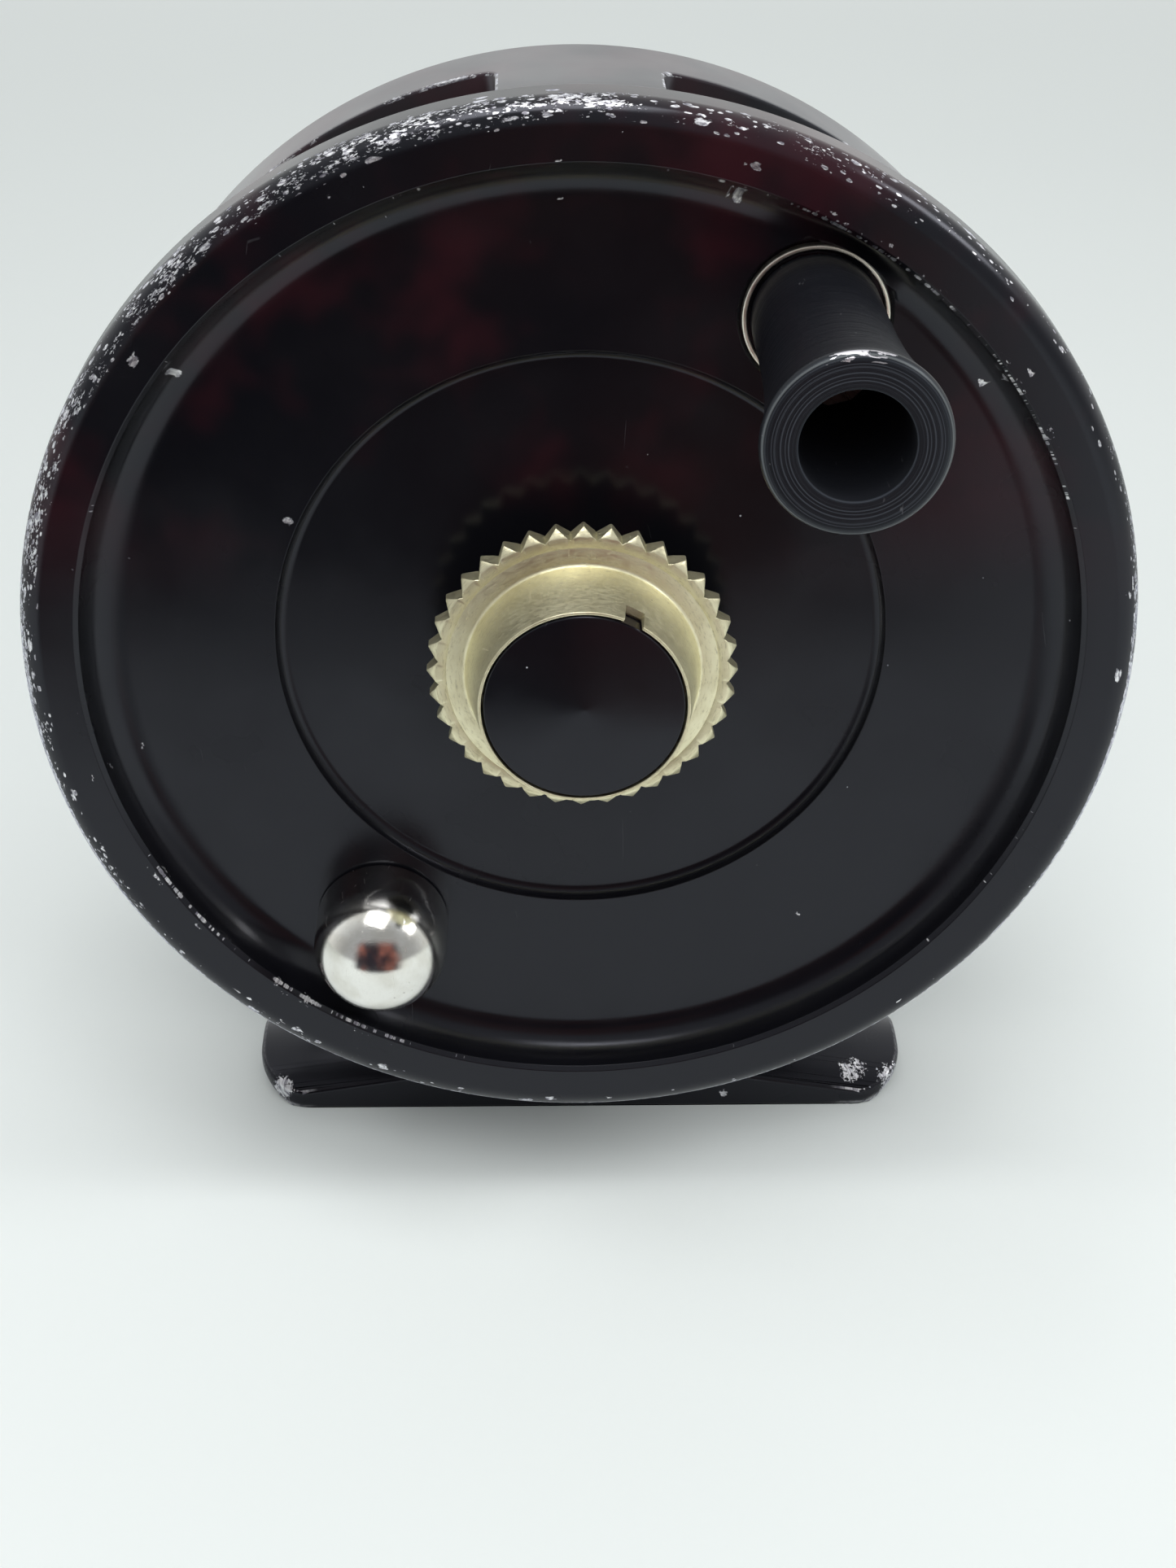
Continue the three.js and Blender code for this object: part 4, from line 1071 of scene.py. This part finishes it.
@dataclass
class Cage:
    """The frame: a drum with four line windows and a recessed back."""

    sides: int = 224
    outer: float = 43.7
    bore: float = 41.3
    front: float = 5.4
    inside: float = 32.2
    outside: float = 35.5
    recess: float = 0.8
    ring: float = 5.6
    boss: float = 14.0
    spindle_hole: float = 3.3
    spigot_floor: float = 33.4
    screw_hole: float = 1.9
    screw_seat: float = 4.9
    seat_floor: float = 34.2
    window_front: float = 8.8
    window_back: float = 27.5
    window_corner: float = 1.3
    window_edge: float = 0.3
    windows: tuple[Point, ...] = ((7.9, 80.45), (99.55, 172.1), (187.9, 239.8), (300.2, 352.1))
    post: float = 1.55
    post_head: float = 2.7
    post_cone: float = 33.5
    post_top: float = 34.7

    def shell(self) -> Piece:
        """The drum and its back, before the windows are cut."""
        ring_inside = self.outer - self.ring
        floor = self.outside - self.recess
        outline = rounded(
            [
                (self.screw_hole, self.spigot_floor, 0),
                (self.spindle_hole, self.spigot_floor, 0),
                (self.spindle_hole, self.inside, 0.1),
                (self.bore, self.inside, 0.8),
                (self.bore, self.front, 0.25),
                (self.outer, self.front, 0.3),
                (self.outer, self.outside, 0.8),
                (ring_inside, self.outside, 0.25),
                (ring_inside - self.recess, floor, 0.5),
                (self.boss + self.recess, floor, 0.5),
                (self.boss, self.outside, 0.25),
                (self.screw_seat, self.outside, 0.2),
                (self.screw_seat, self.seat_floor, 0),
                (self.screw_hole, self.seat_floor, 0),
            ],
            closed=True,
        )
        return Bench.turn("cage_shell", outline, SPINDLE, self.sides, hollow=True)

    def window(self, start: float, end: float) -> Piece:
        """The solid that cuts one window, between two angles in degrees."""
        reach = 8.0
        Bench.clear()
        bpy.ops.mesh.primitive_plane_add(
            size=1,
            location=SPINDLE.around(self.outer, start, (self.window_front + self.window_back) / 2),
            rotation=(0, -math.radians(start), 0),
        )
        width = self.window_back - self.window_front
        bpy.context.object.scale = (reach * MM, width * MM, 1)
        cutter = Bench.settle("window_cutter")
        Bench.edit(cutter)
        bpy.ops.mesh.spin(
            steps=math.ceil((end - start) / 3),
            angle=math.radians(end - start),
            center=SPINDLE.point(0),
            axis=(0, 1, 0),
        )
        Bench.close(cutter)
        Bench.edit(cutter)
        ends = (math.radians(start), math.radians(end))

        def radial(edge: Edge) -> bool:
            """Whether an edge points away from the spindle at either end of the window."""
            first, second = (vertex.co for vertex in edge.verts)
            if abs(first.y - second.y) > 1e-6:
                return False
            angles = [math.atan2(p.z - SPINDLE.z, p.x - SPINDLE.x) % math.tau for p in (first, second)]
            return abs(angles[0] - angles[1]) < 1e-4 and any(abs(angles[0] - at) < 1e-3 for at in ends)

        Bench.pick(cutter, "EDGE", radial)
        bpy.ops.mesh.bevel(offset=self.window_corner * MM, segments=7, affect="EDGES")
        Bench.close(cutter)
        return cutter

    def build(self) -> None:
        """Make the cage and dress it."""
        piece = self.shell()
        for start, end in self.windows:
            Bench.combine(piece, self.window(start, end), Cut.AWAY)
        hole = [
            (self.post, self.inside - 1),
            (self.post, self.post_cone),
            (self.post_head, self.post_top),
            (self.post_head, self.outside + 0.5),
        ]
        for axis in (PAWL_POST, SPRING_POST):
            Bench.combine(piece, Bench.turn("post_hole", hole, axis, 48), Cut.AWAY)

        def around_window(edge: Edge) -> bool:
            """Whether an edge is the outer or inner edge of a window."""
            depths = [(vertex.co.y - FRONT) / MM for vertex in edge.verts]
            inside = all(self.window_front - 0.1 < d < self.window_back + 0.1 for d in depths)
            return inside and sharp(edge, 50)

        Bench.edit(piece)
        Bench.close(piece, merge=0.06)
        satin = dict(roughness=0.36, specular=1.0, sheen=0.35)
        finish = BlackGloss("gloss_black_cage", SPINDLE, nicks=0.2, **satin).material()
        worn = BlackGloss("gloss_black_window_edge", SPINDLE, chipped=0.72, **satin).material()
        piece.data.materials.append(finish)
        piece.data.materials.append(worn)
        Bench.soften(piece, self.window_edge, around_window, place=1)
        fit(piece, "frame", Slot.GLOSS, finish, "frame_cage")


@dataclass
class Foot:
    """The arched foot that the rod's hoods hold, with its pedestal."""

    length: float = 65.8
    reach: float = 1.5
    width: float = 14.5
    drop: float = 3.1
    toe: float = 1.25
    slope: float = 9.6
    crown: float = 9.6
    corner: float = 5.1
    pedestal: float = 26.0
    flare: float = 6.0
    flare_height: float = 7.5
    seat: float = 9.2
    cage: float = 43.9
    blank: float = 20.0
    stem_top: float = 14.0
    flare_curve: float = 2.6

    def bar(self) -> Piece:
        """The bar with a crowned top and a rounded plan."""
        middle = Vector((self.reach / 2, 0, self.blank / 2 - self.drop)) * MM
        piece = Bench.block("foot_bar", middle, (self.length, self.width, self.blank))
        Bench.edit(piece)

        def upright(edge: Edge) -> bool:
            """Whether an edge stands up."""
            first, second = (vertex.co for vertex in edge.verts)
            return abs(first.z - second.z) > self.blank / 2 * MM

        Bench.pick(piece, "EDGE", upright)
        bpy.ops.mesh.bevel(offset=self.corner * MM, segments=12, affect="EDGES")
        Bench.close(piece)
        rise = (self.length - self.reach) / 2 * math.tan(math.radians(self.slope))
        for side in (-1, 1):
            lean = math.radians(90 + side * self.slope)
            top = (self.toe + rise) * MM
            sink = self.crown * MM / math.cos(math.radians(self.slope))
            crown = Bench.rod(
                "crown", self.crown, 3 * self.length, Vector((0, 0, top - sink)), (0, lean, 0), 224
            )
            Bench.combine(piece, crown, Cut.KEEP)
        return piece

    def stem(self) -> Piece:
        """The pedestal, a block that grows out into hollow flares at its base."""
        base = -self.drop / 2
        rise = self.flare_height - base
        Bench.clear()
        bpy.ops.mesh.primitive_plane_add(size=1, location=(0, 0, base * MM))
        wide = self.pedestal + 2 * self.flare
        bpy.context.object.scale = (wide * MM, self.width * MM, 1)
        piece = Bench.settle("foot_stem")
        Bench.edit(piece)
        steps = 10
        height = base
        for level in [*(base + rise * i / steps for i in range(1, steps + 1)), self.stem_top]:
            share = max(0.0, 1 - (level - base) / rise)
            now = self.pedestal + 2 * self.flare * share**self.flare_curve
            bpy.ops.mesh.extrude_region_move(
                TRANSFORM_OT_translate={"value": (0, 0, (level - height) * MM)}
            )
            bpy.ops.transform.resize(value=(now / wide, 1, 1), center_override=(0, 0, level * MM))
            wide, height = now, level
        Bench.close(piece)
        return piece

    def build(self) -> None:
        """Make the foot and dress it."""
        piece = Bench.combine(self.bar(), self.stem(), Cut.ADD)
        hollow = Bench.rod(
            "seat", self.seat, 2 * self.length, Vector((0, 0, -self.seat * MM)), (0, math.pi / 2, 0), 224
        )
        Bench.combine(piece, hollow, Cut.AWAY)
        axis = Vector((SPINDLE.x, 0, SPINDLE.z))
        cage = Bench.rod("cage_room", self.cage, 4 * self.width, axis, (math.pi / 2, 0, 0), 224)
        Bench.combine(piece, cage, Cut.AWAY)
        Bench.edit(piece)
        Bench.close(piece, merge=0.03)
        Bench.soften(piece, 0.3, lambda edge: sharp(edge, 34), segments=3)
        finish = BlackGloss(
            "gloss_black_foot",
            SPINDLE,
            corners=0.95,
            corners_from=26.0,
            # The first patch, on the right toe, is a painted glint of a lamp; the other two are rubbed
            # corners.
            rubs_and_glints=((28.6, 16.2, -54.6, 2.6), (32.6, 16.8, -56.4, 2.9), (-29.8, 15.8, -56.4, 2.2)),
            nicks=0.08,
            corner_width=0.8,
        )
        fit(piece, "frame", Slot.GLOSS, finish.material(), "reel_foot")


# ---------------------------------------------------------------- drag knob


@dataclass
class Knob:
    """The serrated drag knob and its cap."""

    sides: int = 144
    teeth: int = 36
    tip: float = 13.15
    root: float = 12.2
    band: float = 12.44
    flange_front: float = -1.6
    flange_back: float = 0.2
    collar: float = 7.5
    collar_back: float = 0.6
    boss: float = 9.93
    boss_top: float = 8.75
    front: float = -8.0
    recess: float = 8.5
    recess_floor: float = -5.8
    bore: float = 3.3
    bore_end: float = -4.2
    groove: float = 11.5
    notch_angle: float = 63.0
    notch_width: float = 1.7
    notch_depth: float = 1.9
    cap: float = 8.34
    cap_back: float = -6.0
    cap_cone: float = 0.3

    def body(self) -> Piece:
        """The turned knob before its teeth are cut."""
        groove, deep = 0.05, 0.03
        outline = rounded(
            [
                (self.bore, self.bore_end, 0),
                (0.4, self.bore_end, 0),
                (0.4, self.recess_floor, 0),
                (self.recess, self.recess_floor, 0.1),
                (self.recess, self.front, 0.06),
                (self.boss_top, self.front, 0.1),
                (self.boss, self.flange_front, 0.35),
                (self.groove - groove, self.flange_front, 0),
                (self.groove, self.flange_front + deep, 0),
                (self.groove + groove, self.flange_front, 0),
                (self.band, self.flange_front, 0),
                (self.tip, self.flange_front + 0.6, 0),
                (self.tip, self.flange_back - 0.2, 0),
                (self.band, self.flange_back, 0),
                (self.collar, self.flange_back, 0.05),
                (self.collar, self.collar_back, 0.1),
                (self.bore, self.collar_back, 0.1),
            ],
            closed=True,
        )
        return Bench.turn("knob_body", outline, SPINDLE, 2 * self.sides, hollow=True)

    def groove_cutter(self) -> Piece:
        """All the V grooves between the teeth, as one cutter of three-sided bars."""
        room = 0.985
        half_width = (self.tip - 0.02) * math.tan(math.pi / self.teeth) * room
        out = self.tip + 0.6
        wide = half_width * (out - self.root) / (self.tip - self.root)
        high = (out - self.root) / 1.5
        middle = (self.flange_front + self.flange_back) / 2
        cutters = []
        for index in range(self.teeth):
            angle = math.tau * (index + 0.5) / self.teeth + math.pi / 2
            Bench.clear()
            bpy.ops.mesh.primitive_cylinder_add(
                vertices=3,
                radius=1,
                depth=4 * MM,
                location=SPINDLE.around(self.root + high, math.degrees(angle), middle),
                rotation=(-math.pi / 2, math.pi / 2 - angle, 0),
            )
            bpy.context.object.scale = (wide / math.sin(math.pi / 3) * MM, high * MM, 1)
            cutters.append(Bench.settle("groove"))
        for cutter in cutters:
            cutter.select_set(True)
        bpy.ops.object.join()
        return bpy.context.object

    def build(self) -> None:
        """Make the knob and its cap, and dress them."""
        piece = self.body()
        Bench.combine(piece, self.groove_cutter(), Cut.AWAY)
        outside = self.boss + 1
        middle = (self.recess - 0.1 + outside) / 2
        notch = Bench.block(
            "notch",
            SPINDLE.point(self.front, middle),
            (outside - self.recess + 0.1, 2 * self.notch_depth, self.notch_width),
        )
        Bench.take(notch)
        turn = Matrix.Rotation(-math.radians(self.notch_angle), 4, "Y")
        centre = Matrix.Translation(SPINDLE.point(0))
        notch.matrix_world = centre @ turn @ centre.inverted()
        bpy.ops.object.transform_apply(location=True, rotation=True, scale=True)
        Bench.combine(piece, notch, Cut.AWAY)

        def tooth(edge: Edge) -> bool:
            """Whether an edge is a corner of a tooth."""
            reach = [math.hypot(v.co.x - SPINDLE.x, v.co.z - SPINDLE.z) / MM for v in edge.verts]
            return min(reach) > self.root - 0.1 and sharp(edge, 30)

        Bench.soften(piece, 0.04, tooth, segments=1)
        silver = BareMetal(
            "nickel_silver_knob",
            SPINDLE,
            (0.9, 0.86, 0.62, 1.0),
            (0.8, 0.75, 0.52, 1.0),
            roughness=0.48,
            rings=0.3,
            streaks=0.7,
            scratches=0.5,
            pitting=0.05,
            reach=11.0,
        )
        fit(piece, "knob", Slot.SILVER, silver.material(), "drag_knob")
        outline = rounded(
            [
                (0.15, self.front - self.cap_cone, 0),
                (self.cap - 0.12, self.front, 0.1),
                (self.cap, self.front + 0.12, 0.08),
                (self.cap, self.cap_back, 0.1),
                (0.15, self.cap_back, 0),
            ]
        )
        cap = Bench.turn("cap_disc", outline, SPINDLE, 128)
        black = BlackGloss("gloss_black_cap", SPINDLE, nicks=0.0, roughness=0.12)
        fit(cap, "knob", Slot.GLOSS, black.material(), "knob_cap")


# ---------------------------------------------------------------- handle and counterweight


@dataclass
class Handle:
    """The flared handle and its collar, with a bore that fits the post."""

    sides: int = 128
    base: float = 5.3
    tip: float = 6.98
    start: float = 3.7
    end: float = -23.9
    edge: float = 0.8
    hole: float = 4.2
    shoulder: float = -4.8
    post: float = 2.3
    collar: float = 6.0
    collar_wall: float = 0.4
    collar_front: float = 3.6
    collar_back: float = 4.5
    screw_head: float = 3.5

    def grip(self) -> Piece:
        """The hollow, flared grip."""
        length = self.start - self.end
        bore = self.post + 0.25
        flare = bezier(
            (self.base, self.start - 0.3),
            (self.base, self.start - length * 0.45),
            (self.base + 0.15, self.start - length * 0.7),
            (self.tip, self.end + self.edge),
            28,
        )
        rim = self.tip - self.edge
        steps = 8
        nose = [
            (
                rim + self.edge * math.cos(math.pi / 2 * i / steps),
                self.end + self.edge - self.edge * math.sin(math.pi / 2 * i / steps),
            )
            for i in range(1, steps + 1)
        ]
        inside = rounded(
            [
                (rim, self.end, 0),
                (self.hole, self.end, 0.25),
                (self.hole, self.shoulder, 0.3),
                (bore, self.shoulder, 0.1),
                (bore, self.start, 0.2),
                (self.base, self.start, 0.25),
                (self.base, self.start - 0.3, 0),
            ]
        )
        outline = [*flare, *nose, *inside[1:-1]]
        return Bench.turn("handle_barrel", outline, HANDLE, self.sides, hollow=True)

    def build(self) -> None:
        """Make the handle's pieces and dress them."""
        satin = BlackSatin("satin_black_handle", HANDLE, tip=self.end)
        fit(self.grip(), "handle", Slot.SATIN, satin.material(), "handle_grip")
        inner = self.collar - self.collar_wall
        ring = rounded(
            [
                (inner, self.collar_front, 0.1),
                (self.collar, self.collar_front, 0.18),
                (self.collar, self.collar_back, 0.1),
                (inner, self.collar_back, 0.1),
            ],
            closed=True,
        )
        nickel = BareMetal(
            "bright_nickel_collar",
            HANDLE,
            (1.0, 0.97, 0.86, 1.0),
            (0.92, 0.88, 0.74, 1.0),
            roughness=0.34,
            rings=0.1,
            scratches=0.2,
            reach=6.0,
        )
        collar = Bench.turn("seat_collar", ring, HANDLE, self.sides, hollow=True)
        fit(collar, "spool", Slot.NICKEL, nickel.material(), "handle_collar")


@dataclass
class Counterweight:
    """The round-nosed weight opposite the handle."""

    radius: float = 6.0
    base: float = 3.9
    tip: float = -6.2

    def build(self) -> None:
        """Make the counterweight and dress it."""
        steps = 20
        nose = [
            (
                self.radius * math.sin(math.pi / 2 * i / steps),
                self.tip + self.radius * (1 - math.cos(math.pi / 2 * i / steps)),
            )
            for i in range(1, steps + 1)
        ]
        back = rounded([(*nose[-1], 0), (self.radius, self.base, 0.25), (0.15, self.base, 0)])
        outline = [(0.15, self.tip), *nose, *back[1:]]
        piece = Bench.turn("weight_body", outline, WEIGHT, 128)
        metal = BareMetal(
            "polished_aluminium_weight",
            WEIGHT,
            (0.87, 0.86, 0.82, 1.0),
            (0.72, 0.7, 0.64, 1.0),
            roughness=0.13,
            rings=0.05,
            scratches=0.45,
            pitting=0.42,
            reach=6.0,
        )
        fit(piece, "spool", Slot.ALUMINIUM, metal.material(), "counterweight")


# ---------------------------------------------------------------- screws and inner pieces


@dataclass
class Hardware:
    """The slotted screws that show on the back, and the inner pieces."""

    slot: float = 0.7
    spindle_head: float = 4.6
    spindle_top: float = 35.87
    spindle_under: float = 34.4
    spindle_shank: float = 1.6
    spindle_end: float = 24.4
    post: float = 1.25
    post_head: float = 2.4
    post_top: float = 34.7
    post_end: float = 28.2

    @staticmethod
    def slotted(
        piece: Piece, axis: Axis, top: float, head: float, width: float
    ) -> None:
        """Cut a screwdriver slot across a head whose top is at a depth."""
        cutter = Bench.block("slot", axis.point(top), (3 * head, 1.2, width))
        Bench.combine(piece, cutter, Cut.AWAY)

    def build(self) -> None:
        """Make the screws that show, and dress the rest."""
        steel_like = dict(colour=(0.56, 0.56, 0.57, 1.0), tarnish=(0.4, 0.39, 0.38, 1.0))
        centre = BareMetal("steel_spindle_screw", SPINDLE, roughness=0.26, rings=0.5, **steel_like)
        dome = rounded(
            [
                (0.15, self.spindle_end, 0),
                (self.spindle_shank, self.spindle_end, 0.3),
                (self.spindle_shank, self.spindle_under, 0),
                (self.spindle_head, self.spindle_under, 0.1),
                (self.spindle_head, self.spindle_top - 0.45, 0.35),
                (self.spindle_head * 0.6, self.spindle_top, 0.8),
                (0.15, self.spindle_top, 0),
            ]
        )
        screw = Bench.turn("back_screw", dome, SPINDLE, 96)
        self.slotted(screw, SPINDLE, self.spindle_top, self.spindle_head, 1.5 * self.slot)
        fit(screw, "frame", Slot.STEEL, centre.material(), "spindle_screw")
        sunk = rounded(
            [
                (0.15, self.post_end, 0),
                (self.post, self.post_end, 0.2),
                (self.post, self.post_top - self.post_head + self.post, 0),
                (self.post_head, self.post_top, 0.06),
                (0.15, self.post_top, 0),
            ]
        )
        for node, axis in (("pawl_post", PAWL_POST), ("spring_post", SPRING_POST)):
            finish = BareMetal(f"steel_{node}", axis, roughness=0.28, rings=0.4, reach=2.4, **steel_like)
            pin = Bench.turn(f"{node}_pin", sunk, axis, 48)
            self.slotted(pin, axis, self.post_top, self.post_head, self.slot)
            fit(pin, "frame", Slot.STEEL, finish.material(), node)
        steel = BareMetal("steel_inner", SPINDLE, roughness=0.3, **steel_like).material()
        bronze = BareMetal(
            "bronze_inner", SPINDLE, (0.55, 0.36, 0.15, 1.0), (0.36, 0.22, 0.09, 1.0), roughness=0.36
        ).material()
        inner = (
            "foot_screw_left foot_screw_right spindle thrust_washer spring_washer_rear "
            "spring_washer_front handle_post handle_screw counterweight_screw click_pawl "
            "pawl_spring spool_screw_1 spool_screw_2 spool_screw_3"
        )
        dress(inner.split(), steel)
        brass_like = "front_bushing rear_bushing click_gear pawl_spacer spring_spacer"
        dress(brass_like.split(), bronze)
        dress(["drag_disc"], Cork("pressed_cork").material())


# ---------------------------------------------------------------- studio


@dataclass
class Studio:
    """A pale table, soft lights, and a surrounding that is bright behind and dim in front."""

    camera_place: tuple[float, float, float] = (-0.00472, -0.20363, 0.14778)
    camera_aim: tuple[float, float, float] = (0.02542, 0.86680, -0.49803)
    camera_roll: float = 0.62
    lens: float = 55.03
    sensor: float = 36.0
    pale: Colour = (0.78, 0.82, 0.81, 1.0)
    far: Colour = (0.77, 0.81, 0.8, 1.0)
    table_reach: float = 3.0
    card_place: tuple[float, float, float] = (0.0, -0.135, 0.067)
    card_size: Point = (0.27, 0.14)

    def camera(self) -> None:
        """Make the camera."""
        data = bpy.data.cameras.new("camera")
        data.lens = self.lens
        data.sensor_width = self.sensor
        data.sensor_fit = "AUTO"
        data.clip_start = 0.01
        camera = bpy.data.objects.new("camera", data)
        bpy.context.scene.collection.objects.link(camera)
        camera.rotation_mode = "QUATERNION"
        aim = Vector(self.camera_aim).to_track_quat("-Z", "Y").to_matrix().to_4x4()
        roll = Matrix.Rotation(math.radians(self.camera_roll), 4, "Z")
        camera.matrix_world = Matrix.Translation(self.camera_place) @ aim @ roll
        bpy.context.scene.camera = camera

    def table(self) -> None:
        """The pale table that the reel stands on, which fades into the surrounding far away."""
        floor_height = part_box("reel_foot")[0].z
        Bench.clear()
        bpy.ops.mesh.primitive_plane_add(size=2 * self.table_reach, location=(0, 0, floor_height))
        table = Bench.settle("table")
        made, graph, shader = blank_material("table_pale")
        place = graph.add("ShaderNodeTexCoord").outputs["Object"]
        cloud = graph.noise(place, 9.0, 3.0)
        darker = tuple(0.975 * part for part in self.pale[:3]) + (1.0,)
        graph.feed(shader.inputs["Base Color"], graph.mix(cloud, self.pale, darker))
        shader.inputs["Roughness"].default_value = 0.75
        shader.inputs["Specular IOR Level"].default_value = 0.2
        away = graph.vector("LENGTH", place).outputs["Value"]
        haze = graph.add("ShaderNodeEmission", {"Color": self.far, "Strength": 1.0})
        fade = graph.remap(away, 0.3, 0.95)
        faded = graph.add("ShaderNodeMixShader", {0: fade, 1: shader.outputs[0], 2: haze.outputs[0]})
        end = next(node for node in made.node_tree.nodes if node.type == "OUTPUT_MATERIAL")
        graph.feed(end.inputs["Surface"], faded.outputs[0])
        table.data.materials.append(made)

    def card(self) -> None:
        """A dark card in front with soft ends, which only the reel's reflections see."""
        Bench.clear()
        upright = (math.pi / 2, 0, 0)
        bpy.ops.mesh.primitive_plane_add(size=1, location=self.card_place, rotation=upright)
        bpy.context.object.scale = (*self.card_size, 1)
        card = Bench.settle("dark_card")
        made = bpy.data.materials.new("card_dark")
        made.use_nodes = True
        made.node_tree.nodes.clear()
        graph = Graph(made.node_tree)
        place = graph.add("ShaderNodeTexCoord").outputs["Object"]
        cloud = graph.remap(graph.noise(place, 16.0, 2.0), 0.42, 0.66)
        tint = graph.mix(cloud, (0.025, 0.022, 0.03, 1.0), (0.3, 0.115, 0.09, 1.0))
        glow = graph.add("ShaderNodeEmission", {"Color": tint, "Strength": 1.0})
        clear = graph.add("ShaderNodeBsdfTransparent")
        across, _, up = graph.add("ShaderNodeSeparateXYZ", {0: place}).outputs
        left = graph.remap(across, -0.13, -0.085)
        right = graph.remap(across, 0.03, 0.09, 1.0, 0.0)
        solid = graph.times(left, right)
        solid = graph.times(solid, graph.remap(up, 0.09, 0.134, 1.0, 0.0))
        faded = graph.add("ShaderNodeMixShader", {0: solid, 1: clear.outputs[0], 2: glow.outputs[0]})
        graph.add("ShaderNodeOutputMaterial", {"Surface": faded.outputs[0]})
        card.data.materials.append(made)
        card.visible_camera = False
        card.visible_diffuse = False
        card.visible_shadow = False
        card.visible_transmission = False

    def lamp(
        self, name: str, place: Vector, aim: Vector, size: Point, power: float, mirrored: bool = True
    ) -> None:
        """A soft rectangular light that points at a place, and may stay out of reflections."""
        data = bpy.data.lights.new(name, "AREA")
        data.shape = "RECTANGLE"
        data.size, data.size_y = size
        data.energy = power
        light = bpy.data.objects.new(name, data)
        bpy.context.scene.collection.objects.link(light)
        turn = (aim - place).to_track_quat("-Z", "Y").to_matrix().to_4x4()
        light.matrix_world = Matrix.Translation(place) @ turn
        light.visible_glossy = mirrored

    def sky(self) -> None:
        """A surrounding whose reflections are brighter behind the reel than in front of it."""
        world = bpy.data.worlds.new("surrounding")
        world.use_nodes = True
        world.node_tree.nodes.clear()
        graph = Graph(world.node_tree)
        towards = graph.add("ShaderNodeTexCoord").outputs["Generated"]
        back = graph.part(towards, 1)
        light = graph.mix(graph.remap(back, -0.55, 0.35), (0.4, 0.41, 0.42, 1.0), (1.0, 1.02, 1.01, 1.0))
        path = graph.add("ShaderNodeLightPath").outputs
        light = graph.mix(path["Is Diffuse Ray"], light, (0.21, 0.22, 0.22, 1.0))
        colour = graph.mix(path["Is Camera Ray"], light, self.far)
        surround = graph.add("ShaderNodeBackground", {"Color": colour, "Strength": 1.0})
        graph.add("ShaderNodeOutputWorld", {"Surface": surround.outputs[0]})
        bpy.context.scene.world = world

    def build(self) -> None:
        """Set up the camera, the table and the light."""
        self.camera()
        self.table()
        self.card()
        self.sky()
        middle = Vector((0, 0, 0.05))
        self.lamp("overhead", Vector((-0.06, -0.16, 0.72)), middle, (0.4, 0.3), 2.1)
        self.lamp("side", Vector((0.5, -0.12, 0.45)), middle, (0.16, 0.2), 0.8)
        self.lamp("fill", Vector((0.0, -0.6, 0.6)), middle, (0.8, 0.6), 4.8, mirrored=False)
        behind = Vector((0, 0.55, 0))
        self.lamp("back", Vector((0, 0.55, 0.45)), behind, (0.9, 0.4), 0.9, mirrored=False)
        view = bpy.context.scene.view_settings
        view.view_transform = "Standard"
        view.look = "None"
        view.exposure = 0.0


def main() -> None:
    """Build the reel and the studio, logging the face count of each new piece."""
    logging.basicConfig(level=logging.INFO, format="%(message)s")
    Studio().build()
    for group in (Spool(), Cage(), Foot(), Knob(), Handle(), Counterweight(), Hardware()):
        group.build()
    Bench.clear()


if __name__ == "__main__":
    main()
